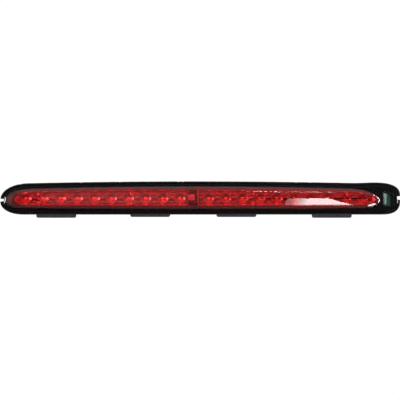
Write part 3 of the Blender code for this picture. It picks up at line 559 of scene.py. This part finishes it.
def plain(
    name, low, high, roughness, scale=300.0, height=0.00003, stretch=(1.0, 1.0, 1.0), **values
):
    """A material whose colour and roughness drift a little, with a fine surface."""
    made, tree, shader = new_material(name, **values)
    drift = noise_at(tree, scale, 3.0, stretch)
    tree.links.new(blend(tree, drift, low, high), shader.inputs["Base Color"])
    tree.links.new(ramp(tree, drift, *roughness), shader.inputs["Roughness"])
    bump(tree, shader, noise_at(tree, 3 * scale, 2.0, stretch), height, 0.5)
    return made


def metal(name, low, high, roughness, scale=500.0, height=0.00002, stretch=(1.0, 1.0, 1.0)):
    return plain(name, low, high, roughness, scale, height, stretch, Metallic=1.0)


def solder_mask():
    """A green board with copper runs under the mask."""
    made, tree, shader = new_material("solder_mask")
    runs = node(tree, "ShaderNodeTexBrick", Scale=420.0, offset=0.37)
    runs.inputs["Color1"].default_value = (0.015, 0.13, 0.085, 1.0)
    runs.inputs["Color2"].default_value = (0.03, 0.19, 0.13, 1.0)
    runs.inputs["Mortar"].default_value = (0.008, 0.075, 0.05, 1.0)
    runs.inputs["Mortar Size"].default_value = 0.05
    turned = node(tree, "ShaderNodeMapping", Rotation=(pi / 2, 0.0, 0.0))
    coords = node(tree, "ShaderNodeTexCoord")
    tree.links.new(coords.outputs["Object"], turned.inputs["Vector"])
    tree.links.new(turned.outputs["Vector"], runs.inputs["Vector"])
    tree.links.new(runs.outputs["Color"], shader.inputs["Base Color"])
    tree.links.new(ramp(tree, noise_at(tree, 250.0), 0.22, 0.4), shader.inputs["Roughness"])
    bump(tree, shader, runs.outputs["Fac"], 0.00004, 0.5)
    return made


MATERIALS = {
    "black_plastic": gloss_plastic(),
    "seal_rubber": foam_rubber(),
    "red_lens": clear_plastic("red_acrylic", (0.96, 0.04, 0.045), 0.0, 0.02),
    "clear_window": clear_plastic("clear_acrylic", (0.80, 0.93, 0.90), 0.01, 0.06),
    "frosted_window": clear_plastic("frosted_acrylic", (0.66, 0.84, 0.80), 0.3, 0.5),
    "bezel_black": plain("satin_dark", (0.110, 0.095, 0.088), (0.150, 0.130, 0.120), (0.28, 0.42)),
    # Painted highlight and sheen: this light grey stands in for the light caught by the bridge's
    # strips and by its plated block.
    "bright_block": plain(
        "bright_block", (0.24, 0.20, 0.20), (0.32, 0.27, 0.27), (0.3, 0.42), 600.0
    ),
    # The LEDs' light orange is painted light: an opaque stand-in for the glow of light caught in
    # the clear epoxy domes.
    "led_epoxy": plain("led_epoxy", (0.85, 0.34, 0.24), (0.98, 0.55, 0.40), (0.06, 0.16), 700.0),
    "board_green": solder_mask(),
    "nylon": plain("grey_nylon", (0.035, 0.036, 0.040), (0.055, 0.056, 0.060), (0.42, 0.55)),
    "epoxy_black": plain(
        "moulded_epoxy", (0.014, 0.014, 0.016), (0.028, 0.028, 0.030), (0.38, 0.5), 900.0
    ),
    "ribbon_amber": plain("polyimide", (0.42, 0.18, 0.03), (0.62, 0.30, 0.07), (0.25, 0.4)),
    "vent_cap": plain(
        "vent_moulding", (0.020, 0.020, 0.021), (0.034, 0.034, 0.035), (0.45, 0.6), 800.0
    ),
    "reflector_metal": metal(
        "vacuum_metal", (0.80, 0.80, 0.82), (0.92, 0.92, 0.93), (0.17, 0.23), 200.0, 0.000004
    ),
    "screw_steel": metal("zinc_plate", (0.52, 0.52, 0.50), (0.74, 0.73, 0.70), (0.22, 0.38)),
    "spring_steel": metal(
        "spring_steel", (0.40, 0.41, 0.43), (0.62, 0.63, 0.65), (0.2, 0.36), 120.0,
        stretch=(40.0, 1.0, 1.0),
    ),
    "tinned_pin": metal(
        "tinned_brass", (0.66, 0.65, 0.60), (0.80, 0.79, 0.75), (0.2, 0.34), 700.0, 0.00003
    ),
    "capacitor_can": metal(
        "aluminium_can", (0.62, 0.62, 0.64), (0.82, 0.82, 0.83), (0.2, 0.34), 500.0, 0.00003
    ),
}


def paint(piece, key):
    piece.data.materials.clear()
    piece.data.materials.append(MATERIALS[key])
    return piece


def paint_cad_nodes():
    """Every CAD node takes the finished material of its slot."""
    for part in frame["record"]["subparts"]:
        paint(NODES[part["node"]], part["material_slot"])


# ---- Lens, window and seals ----


def crown_curve(share):
    return (1 - (1 - share) ** CROWN_POWER) ** (1 / CROWN_POWER)


def crown_depth(share):
    start = crown_curve(CROWN_START)
    rise = (crown_curve(CROWN_START + (1 - CROWN_START) * share) - start) / (1 - start)
    return LENS_SHOULDER + (LENS_CROWN - LENS_SHOULDER) * rise


def make_lens():
    """A crowned shell: rings up the outside to the crown, back down inside to the foot."""
    outer = [(0.0, 0.0, LENS_FOOT)] + [(share, 0.0, crown_depth(share)) for share in LENS_LEVELS]
    inside = reversed(LENS_LEVELS[:INNER_LEVELS])
    inner = [(share, LENS_WALL, crown_depth(share) + LENS_WALL) for share in inside]
    inner.append((0.0, LENS_WALL, LENS_FOOT))
    bm = bmesh.new()
    rings = []
    for share, inset, depth in outer + inner:
        rings.append(add_ring(bm, outline(shrunk(LENS, share), inset), min(depth, LENS_FOOT)))
    split = len(outer)
    bm.faces.new(rings[split - 1])
    bm.faces.new(rings[split])
    for index in range(1, len(rings)):
        if index != split:
            join_rings(bm, rings[index - 1], rings[index])
    join_rings(bm, rings[0], rings[-1])
    lens = paint(finished("red_cover", bm, ["outer_lens"], angle=60.0), "red_lens")
    hide_from(lens, "shadow")


def slot_middle(x):
    """Height of the line from one end slot to the other."""
    share = (x - BODY_LEFT) / (BODY_RIGHT - BODY_LEFT)
    return SLOT_LEFT_Z + (SLOT_RIGHT_Z - SLOT_LEFT_Z) * share


def bead_section():
    """The edge rubber's section as (inset, depth): a round bead, and a lip behind the flange."""
    radius = BEAD / 2
    arc = [pi - pi * step / BEAD_ARC_STEPS for step in range(BEAD_ARC_STEPS + 1)]
    section = [(radius + radius * cos(a), BEAD_FRONT + radius - radius * sin(a)) for a in arc]
    section += [(BEAD, 0.0), (BEAD + LIP_STEP, GAP), (LIP, GAP), (LIP, GASKET_BACK)]
    return section + list(GASKET_EDGE)


def nick_depth(x, z):
    """How far the bead is nicked in at the mould joints along its top edge."""
    if z < BODY_TOP / 2:
        return 0.0
    return NICK_DEPTH * sum(np.exp(-(((x - nick) / NICK_WIDTH) ** 2)) for nick in NICK_X)


def bead_ring(bm, rim, depth, side):
    """One line of points along the bead, with its nicks and, in front, its rough skin."""
    ring = []
    for x, z in rim:
        rough = SKIN_HEIGHT * noise.noise(Vector((x, depth, z)) * SKIN_SCALE)
        push = nick_depth(x, z) + (rough if depth < 0 else 0.0)
        ring.append(bm.verts.new((x, depth + SKIN_SINK * abs(rough), z - side * push)))
    return ring


def make_gasket(side, name):
    """One half of the edge rubber, from the left end slot to the right one."""
    line = outline(BODY, 0.0, *BEAD_STEPS)
    above = side * (line[:, 1] - slot_middle(line[:, 0])) > SLOT_HALF_HEIGHT
    start = int(np.nonzero(above & ~np.roll(above, 1))[0][0])
    count = int(above.sum())
    bm = bmesh.new()
    rings = []
    for inset, depth in bead_section():
        rim = outline(BODY, inset + EDGE_SKIN, *BEAD_STEPS)
        rings.append(bead_ring(bm, np.roll(rim, -start, 0)[:count], depth, side))
    for near, far in zip(rings, rings[1:] + rings[:1]):
        join_rings(bm, near, far, closed=False)
    for end in (0, -1):
        bm.faces.new([ring[end] for ring in rings])
    rubber = finished(f"edge_rubber_{name}", bm, [f"gasket_{name}"])
    if side < 0:
        cut_out(rubber, [(SLIT_LOW, SLIT_HIGH)])
    paint(rubber, "seal_rubber")


def make_window():
    """The clear pane with rounded edges, and its frosted rib as a piece of its own."""
    low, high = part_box("end_window")
    edge = WINDOW_ROUNDING
    section = [(0.0, WINDOW_BACK)]
    section += [(inset * edge, low.y + depth * edge) for inset, depth in ROUNDING_SHARES]
    bm = bmesh.new()
    rings = []
    for inset, depth in section:
        near, far = (low.x + inset, low.z + inset), (high.x - inset, high.z - inset)
        rings.append(add_ring(bm, rounded_rectangle(near, far, WINDOW_CORNER - inset), depth))
    for near, far in zip(rings, rings[1:]):
        join_rings(bm, near, far)
    bm.faces.new(rings[0])
    bm.faces.new(rings[-1])
    pane = paint(finished("window_pane", bm, ["end_window"]), "clear_window")
    bm = bmesh.new()
    add_box(bm, RIB_LOW, RIB_HIGH)
    soften(bm, *RIB_ROUNDING)
    rib = paint(finished("window_rib", bm, ["end_window"]), "frosted_window")
    for piece in (pane, rib):
        hide_from(piece, "shadow")


# ---- Behind the lens ----


def make_bezel():
    """The dark frame between lens and reflectors."""
    inner = shrunk(LENS, BEZEL_SHARE)
    section = (
        (LENS, BEZEL_INSET, BEZEL_FRONT),
        (LENS, BEZEL_INSET, BEZEL_BACK),
        (inner, 0.0, BEZEL_BACK),
        (inner, 0.0, BEZEL_FRONT + BEZEL_CHAMFER),
        (inner, -BEZEL_CHAMFER, BEZEL_FRONT),
    )
    bm = bmesh.new()
    rings = [add_ring(bm, outline(shape, inset), depth) for shape, inset, depth in section]
    for near, far in zip(rings, rings[1:] + rings[:1]):
        join_rings(bm, near, far)
    paint(finished("lens_frame", bm, ["inner_bezel"], angle=25.0), "bezel_black")


def make_bridge():
    """The dark bridge between the banks, and the strips and block on it, whose light grey is
    painted light: painted highlights on the strips' edges and a painted sheen for the plated
    block.
    """
    inner = shrunk(LENS, BEZEL_SHARE)
    low, high = inner.bottom(0), inner.top(0)
    dark = [((BRIDGE_LEFT, BEZEL_FRONT + GAP, low), (BRIDGE_RIGHT, BEZEL_BACK, high))]
    front = BEZEL_FRONT - BRIDGE_LIFT
    bright = [((left, front, low), (right, BEZEL_BACK, high)) for left, right in BRIDGE_STRIPS]
    bright += [BRIDGE_BLOCK, BLOCK_FACE]
    pieces = {"bank_bridge": (dark, "bezel_black"), "bridge_block": (bright, "bright_block")}
    for name, (boxes, key) in pieces.items():
        bm = bmesh.new()
        for corners in boxes:
            add_box(bm, *corners)
        soften(bm, *BRIDGE_ROUNDING)
        paint(finished(name, bm, ["inner_bezel"]), key)


def ease(value, low, high):
    """0 below low, 1 above high, and smooth between."""
    share = np.clip((value - low) / (high - low), 0.0, 1.0)
    return share * share * (3 - 2 * share)


def edges(shape, x):
    """The heights of the outline's lower and upper edges over x."""
    found = []
    for half, edge in ((1, shape.bottom), (0, shape.top)):
        z = edge(x)
        for index, along in ((0, x - shape.left), (1, shape.right - x)):
            power = shape.powers[index]
            lean = np.clip(1 - along / shape.caps[index][half], 0.0, 1.0)
            z = shape.tips[index] + (z - shape.tips[index]) * (1 - lean**power) ** (1 / power)
        found.append(z)
    return found


def reach(x, z):
    """How far a point lies from the lens's middle line, 1 at its edge."""
    left = np.clip(1 - (x - LENS.left) / LENS_RUNS[0], 0.0, 1.0)
    right = np.clip(1 - (LENS.right - x) / LENS_RUNS[1], 0.0, 1.0)
    across = np.maximum(left, right)
    edge = np.where(z >= LENS_MIDDLE, LENS.top(x) - LENS_MIDDLE, LENS_MIDDLE - LENS.bottom(x))
    away = np.abs((z - LENS_MIDDLE) / edge)
    return (across**REACH_POWER + away**REACH_POWER) ** (1 / REACH_POWER)


def peg_places():
    return [(x, z) for x in PEG_X for z in (PEG_Z, -PEG_Z)]


def led_places(side):
    return [side * (LED_FIRST + LED_PITCH * number) for number in range(LEDS_PER_BANK)]


def dish_depth(x, z, place):
    """A shallow fluted bowl round one LED."""
    away = np.hypot(x - place, z)
    turn = np.arctan2(z, x - place)
    bowl = REFLECTOR_FLOOR + DISH_SINK * (1 - (away / DISH_RADIUS) ** 2)
    flutes = FLUTE_HEIGHT * np.abs(np.sin(FLUTES / 2 * turn)) * ease(away, DISH_HOLE, DISH_RADIUS)
    return np.where(away < DISH_RADIUS, bowl - flutes, 0.0)


def hollow_depth(x, z, side):
    """Shallow ovals above and below the line of LEDs, between them."""
    depth = 0.0
    for number in range(LEDS_PER_BANK + 1):
        middle = side * (LED_FIRST + LED_PITCH * (number - 0.5))
        for height, half in HOLLOWS:
            oval = np.hypot((x - middle) / HOLLOW_HALF_LENGTH, (z - height) / half)
            depth = depth + HOLLOW_DEPTH * (1 - ease(oval, HOLLOW_RIM, 1.0))
    return depth


def with_bosses(depth, x, z):
    """The depth with a flat boss under each screw head."""
    for peg_x, peg_z in peg_places():
        away = np.hypot(x - peg_x, z - peg_z)
        inner, outer = (PEG_RADIUS + past for past in PEG_SKIRT)
        boss = PEG_TOP + (depth - PEG_TOP) * ease(away, inner, outer)
        depth = np.where(away < outer, boss, depth)
    return depth


def trough_depth(x, z, side):
    """The reflector's front: sloping sides, hollows, a fine ridge, bowls and screw bosses."""
    slope = ease(reach(x, z), *SLOPE_REACH)
    ridge = RIDGE_HEIGHT * np.exp(-(((z - RIDGE_Z) / RIDGE_WIDTH) ** 2))
    depth = REFLECTOR_FLOOR - (REFLECTOR_FLOOR - REFLECTOR_RIM) * slope
    depth = depth + (hollow_depth(x, z, side) - ridge) * (1 - slope)
    for place in led_places(side):
        depth = np.maximum(depth, dish_depth(x, z, place))
    return with_bosses(depth, x, z)


def make_reflector(side, name):
    """A thin metallised shell over a fine net, with a hole for each LED."""
    rim = shrunk(LENS, REFLECTOR_SHARE)
    ends = (BRIDGE_RIGHT + GAP, rim.right) if side > 0 else (rim.left, BRIDGE_LEFT - GAP)
    along, across = REFLECTOR_NET
    columns = np.linspace(*ends, along)
    x = np.repeat(columns[:, None], across, 1)
    bottom, top = (edge[:, None] for edge in edges(rim, columns))
    z = bottom + (top - bottom) * np.linspace(0.0, 1.0, across)[None, :]
    y = trough_depth(x, z, side)
    places = np.array(led_places(side))
    bm = bmesh.new()
    net = [[bm.verts.new(point) for point in zip(*row)] for row in zip(x, y, z)]
    for i in range(along - 1):
        for j in range(across - 1):
            middle = (x[i, j] + x[i + 1, j]) / 2, (z[i, j] + z[i + 1, j + 1]) / 2
            if np.hypot(places - middle[0], middle[1]).min() > DISH_HOLE:
                bm.faces.new((net[i][j], net[i + 1][j], net[i + 1][j + 1], net[i][j + 1]))
    bmesh.ops.remove_doubles(bm, verts=bm.verts[:], dist=NET_MERGE)
    bmesh.ops.delete(bm, geom=[vert for vert in bm.verts if not vert.link_faces], context="VERTS")
    piece = finished(
        f"reflector_bank_{name}", bm, [f"reflector_{name}"], angle=60.0
    )
    shell = piece.modifiers.new("Shell", "SOLIDIFY")
    shell.thickness = REFLECTOR_WALL
    shell.offset = 0.0
    apply_modifiers(piece)
    paint(piece, "reflector_metal")


def make_leds():
    """Each LED is an epoxy dome on a square base, both painted an opaque light orange: a painted
    glow standing in for the light gathered in the clear epoxy.
    """
    arc = [pi / 2 * step / DOME_STEPS for step in range(DOME_STEPS + 1)]
    profile = [(LED_RADIUS * sin(a), LED_TIP_Y + LED_RADIUS * (1 - cos(a))) for a in arc]
    profile.append((LED_RADIUS, DOME_BACK - LED_FLARE_HEIGHT))
    profile += [(LED_RADIUS + LED_FLARE, DOME_BACK), (0.0, DOME_BACK)]
    half = LED_BASE / 2
    for number, x in enumerate(sorted(led_places(-1) + led_places(1))):
        name = f"led_{number + 1:02d}"
        bm = bmesh.new()
        add_turned(bm, profile, x, 0.0, ROUND_SIDES)
        paint(finished(f"{name}_dome", bm, [name], angle=50.0), "led_epoxy")
        bm = bmesh.new()
        add_box(bm, (x - half, LED_BASE_FRONT, -half), (x + half, LED_BACK, half))
        soften(bm, *BASE_ROUNDING)
        paint(finished(f"{name}_base", bm, [name]), "led_epoxy")


def make_screws():
    """Pan-head screws with a cross recess."""
    for number, (x, z) in enumerate(peg_places()):
        bm = bmesh.new()
        add_turned(bm, SCREW_PROFILE, x, z, ROUND_SIDES)
        piece = finished(f"screw_{number + 1}_steel", bm, [f"screw_{number + 1}"])
        cross = [((x - a, CROSS_FRONT, z - b), (x + a, CROSS_BACK, z + b)) for a, b in CROSS_ARMS]
        cut_out(piece, cross)
        paint(piece, "screw_steel")


# ---- Studio ----

PURE_WHITE = (1.0, 1.0, 1.0, 1.0)
WHITE = 1.02  # how bright floor and backdrop look
FRONT_LIGHT = (0.02, 0.16)  # from in front, below the lamp's height and above it
ROUND_LIGHT = 0.32
END_LIGHT = 0.75
HEIGHT_SPREAD = (-0.25, 0.25)  # parts of a direction between which the backdrop's light changes
FRONT_SPREAD = (-0.85, -0.3)
END_SPREAD = (0.6, 0.95)
FLOOR_REACH = 30.0
FLOOR_GAP = 0.0001

GLARE_DISTANCE = 0.9
GLARE_ANGLES = (2.6, 74.6)  # degrees below the lamp's height
GLARE_STEPS = 12
GLARE_LEFT = 0.134
GLARE_RIGHT = (0.196, 0.241)  # at the top and at the foot
GLARE_GLOW = (19.0, (0.143, 0.168), (-0.74, -0.87))  # strength, X to fade in over, Z to fade out
HAZE_X = (-0.24, 0.12)
HAZE_Z = (-0.9, 0.7)
HAZE_DISTANCE = 1.0
HAZE_GLOW = (0.55, (0.12, -0.08), (-0.7, -1.0))
FAINTEST = 0.15  # what is left of a glow where it has faded out
FOOT_GLOW = 0.12  # and what is left at its foot

REFLECTED = ("diffuse", "transmission")  # a lamp hidden from these shows only as a reflection
INSIDE = ("reflector_bank", "led_", "screw_")
# A light reaches only pieces whose names start with one of its pieces, or all if it has none;
# hidden are the kinds of ray it doesn't take part in.
Light = namedtuple("Light", "name place target size radiance pieces hidden", defaults=((), ()))
LIGHTS = (
    Light(
        "below_right", (0.55, -0.08, -0.75), (0.19, 0.0, 0.0), (0.40, 0.35), 16.0,
        ("red_cover", "housing", "edge_rubber"), REFLECTED,
    ),
    Light(
        "side_right", (1.2, -0.06, 0.10), (0.2, 0.0, 0.0), (0.10, 2.4), 40.0,
        ("red_cover", "housing"), REFLECTED,
    ),
    Light(
        "line_upper_right", (0.15, -0.6, 0.75), (0.12, 0.0, 0.0), (0.14, 0.03), 30.0,
        ("red_cover",), REFLECTED,
    ),
    Light("spark_left", (-1.8, -1.3, 0.0), (0.0, 0.0, 0.0), (0.08, 0.08), 1500.0, INSIDE),
    Light(
        "inside_front", (-0.2, -1.2, 0.8), (0.0, 0.0, 0.0), (2.2, 0.9), 12.0,
        (*INSIDE, "bridge_block"),
    ),
    Light(
        "inside_level", (-0.15, -1.5, 0.0), (0.0, 0.0, 0.0), (2.4, 1.0), 4.0,
        (*INSIDE, "bridge_block"),
    ),
    Light("window_front", (0.45, -0.8, -0.2), (0.21, 0.0, 0.0), (0.3, 0.3), 32.0, ("window_rib",)),
    Light(
        "pocket_front", (0.35, -0.8, 0.3), (0.21, 0.0, 0.0), (0.4, 0.4), 8.0,
        ("circuit_board_right", "resistor_", "diode"),
    ),
    Light(
        "housing_front", (0.0, -0.9, -0.7), (0.0, 0.0, 0.0), (2.0, 0.6), 3.6,
        ("housing",), ("glossy",),
    ),
    Light("overhead", (0.0, 0.1, 1.5), (0.0, 0.0, 0.0), (2.0, 0.8), 0.3),
)

LENS_LENGTH = 200.0  # the camera's lens and sensor are in millimetres
SENSOR = 36.0
VIEW_WIDTH = 0.430
VIEW_MIDDLE = (0.0062, 0.0, -0.0016)


def make_world():
    """A backdrop that looks white and gives less light than that: most from both ends, some
    from above, below and behind, and little from in front of the lamp."""
    world = bpy.data.worlds.new("studio")
    bpy.context.scene.world = world
    world.use_nodes = True
    tree = world.node_tree
    backdrop = tree.nodes["Background"]
    ahead = ramp(tree, axis_of(tree, "Y", "Generated"), 0.0, ROUND_LIGHT, *FRONT_SPREAD)
    sideways = node(tree, "ShaderNodeMath", operation="ABSOLUTE")
    tree.links.new(axis_of(tree, "X", "Generated"), sideways.inputs[0])
    ends = ramp(tree, sideways.outputs[0], 0.0, END_LIGHT - ROUND_LIGHT, *END_SPREAD)
    upwards = ramp(tree, axis_of(tree, "Z", "Generated"), *FRONT_LIGHT, *HEIGHT_SPREAD)
    path = node(tree, "ShaderNodeLightPath")
    seen = node(tree, "ShaderNodeMix")
    seen.inputs["B"].default_value = WHITE
    tree.links.new(path.outputs["Is Camera Ray"], seen.inputs["Factor"])
    tree.links.new(math_of(tree, "ADD", ahead, ends, upwards), seen.inputs["A"])
    tree.links.new(seen.outputs["Result"], backdrop.inputs["Strength"])
    backdrop.inputs["Color"].default_value = PURE_WHITE


def glowing(name, strength):
    made = bpy.data.materials.new(name)
    made.use_nodes = True
    made.node_tree.nodes.clear()
    output = node(made.node_tree, "ShaderNodeOutputMaterial")
    glow = node(made.node_tree, "ShaderNodeEmission", Strength=strength, Color=PURE_WHITE)
    made.node_tree.links.new(glow.outputs["Emission"], output.inputs["Surface"])
    return made


def staged(name, rows, made):
    """A sheet of the studio, through rows of points."""
    bm = bmesh.new()
    grid = [[bm.verts.new(point) for point in row] for row in rows]
    for near, far in zip(grid, grid[1:]):
        for index in range(1, len(near)):
            bm.faces.new((near[index - 1], near[index], far[index], far[index - 1]))
    mesh = bpy.data.meshes.new(name)
    bm.to_mesh(mesh)
    bm.free()
    mesh.materials.append(made)
    sheet = bpy.data.objects.new(name, mesh)
    bpy.context.scene.collection.objects.link(sheet)
    return sheet


def make_floor():
    """A light table that the hooks stand on. It looks white but gives no light."""
    low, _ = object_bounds()
    z = low.z - FLOOR_GAP
    rows = [[(-FLOOR_REACH, y, z), (FLOOR_REACH, y, z)] for y in (-FLOOR_REACH, FLOOR_REACH)]
    floor = staged("floor", rows, glowing("light_table", WHITE))
    hide_from(floor, "diffuse", "glossy", "transmission", "shadow")


def fading_glow(name, strength, across, down):
    """A glow that fades in along X over one pair of places, and out downwards over another."""
    made = glowing(name, strength)
    tree = made.node_tree
    fading_in = ramp(tree, axis_of(tree, "X"), FAINTEST * strength, strength, *across)
    fading_out = ramp(tree, axis_of(tree, "Z"), 1.0, FOOT_GLOW, *down)
    total = math_of(tree, "MULTIPLY", fading_in, fading_out)
    tree.links.new(total, tree.nodes["Emission"].inputs["Strength"])
    return made


def make_card(name, rows, glow):
    """A glowing card that shows only as a reflection in the lens."""
    card = staged(name, rows, fading_glow(name, *glow))
    keep_to(card, ("red_cover",))
    hide_from(card, "camera", "shadow", *REFLECTED)


def make_glare_card():
    """A tall bent card in front and below, wider at its foot, fading out to the left."""
    rows = []
    for step in range(GLARE_STEPS + 1):
        share = step / GLARE_STEPS
        angle = radians(GLARE_ANGLES[0] + (GLARE_ANGLES[1] - GLARE_ANGLES[0]) * share)
        y, z = -GLARE_DISTANCE * cos(angle), -GLARE_DISTANCE * sin(angle)
        right = GLARE_RIGHT[0] + (GLARE_RIGHT[1] - GLARE_RIGHT[0]) * share
        rows.append([(GLARE_LEFT, y, z), (right, y, z)])
    make_card("glare_card", rows, GLARE_GLOW)


def make_haze_card():
    """A tall dim card in front of the left half, fading out towards the middle."""
    rows = [[(x, -HAZE_DISTANCE, z) for z in HAZE_Z] for x in HAZE_X]
    make_card("haze_card", rows, HAZE_GLOW)


def keep_to(lamp, starts):
    """Keeps a lamp's light to the pieces whose names start with one of these."""
    lit = bpy.data.collections.new(f"{lamp.name}_receivers")
    for piece in bpy.data.objects:
        if piece.type == "MESH" and piece.name.startswith(starts):
            lit.objects.link(piece)
    lamp.light_linking.receiver_collection = lit


def add_light(light):
    """A rectangular lamp facing its target; its radiance is in watts per square metre and
    steradian."""
    data = bpy.data.lights.new(light.name, "AREA")
    data.shape = "RECTANGLE"
    data.size, data.size_y = light.size
    data.energy = light.radiance * pi * data.size * data.size_y
    lamp = bpy.data.objects.new(light.name, data)
    lamp.location = light.place
    facing = Vector(light.target) - Vector(light.place)
    lamp.rotation_euler = facing.to_track_quat("-Z", "Y").to_euler()
    bpy.context.scene.collection.objects.link(lamp)
    if light.pieces:
        keep_to(lamp, light.pieces)
    hide_from(lamp, "camera", *light.hidden)


def make_lights():
    make_glare_card()
    make_haze_card()
    for light in LIGHTS:
        add_light(light)


def make_camera():
    """A long lens square on to the lamp, level with it."""
    data = bpy.data.cameras.new("camera")
    data.lens = LENS_LENGTH
    data.sensor_width = SENSOR
    data.clip_start = 0.1
    data.clip_end = 100.0
    camera = bpy.data.objects.new("camera", data)
    camera.location = Vector(VIEW_MIDDLE) - Vector((0.0, VIEW_WIDTH * LENS_LENGTH / SENSOR, 0.0))
    camera.rotation_euler = (pi / 2, 0.0, 0.0)
    bpy.context.scene.collection.objects.link(camera)
    bpy.context.scene.camera = camera


def build():
    paint_cad_nodes()
    make_lens()
    make_gasket(1, "upper")
    make_gasket(-1, "lower")
    make_window()
    make_bezel()
    make_bridge()
    make_reflector(-1, "left")
    make_reflector(1, "right")
    make_leds()
    make_screws()
    make_world()
    make_floor()
    make_lights()
    make_camera()
    bpy.context.scene.view_settings.view_transform = "Standard"


build()
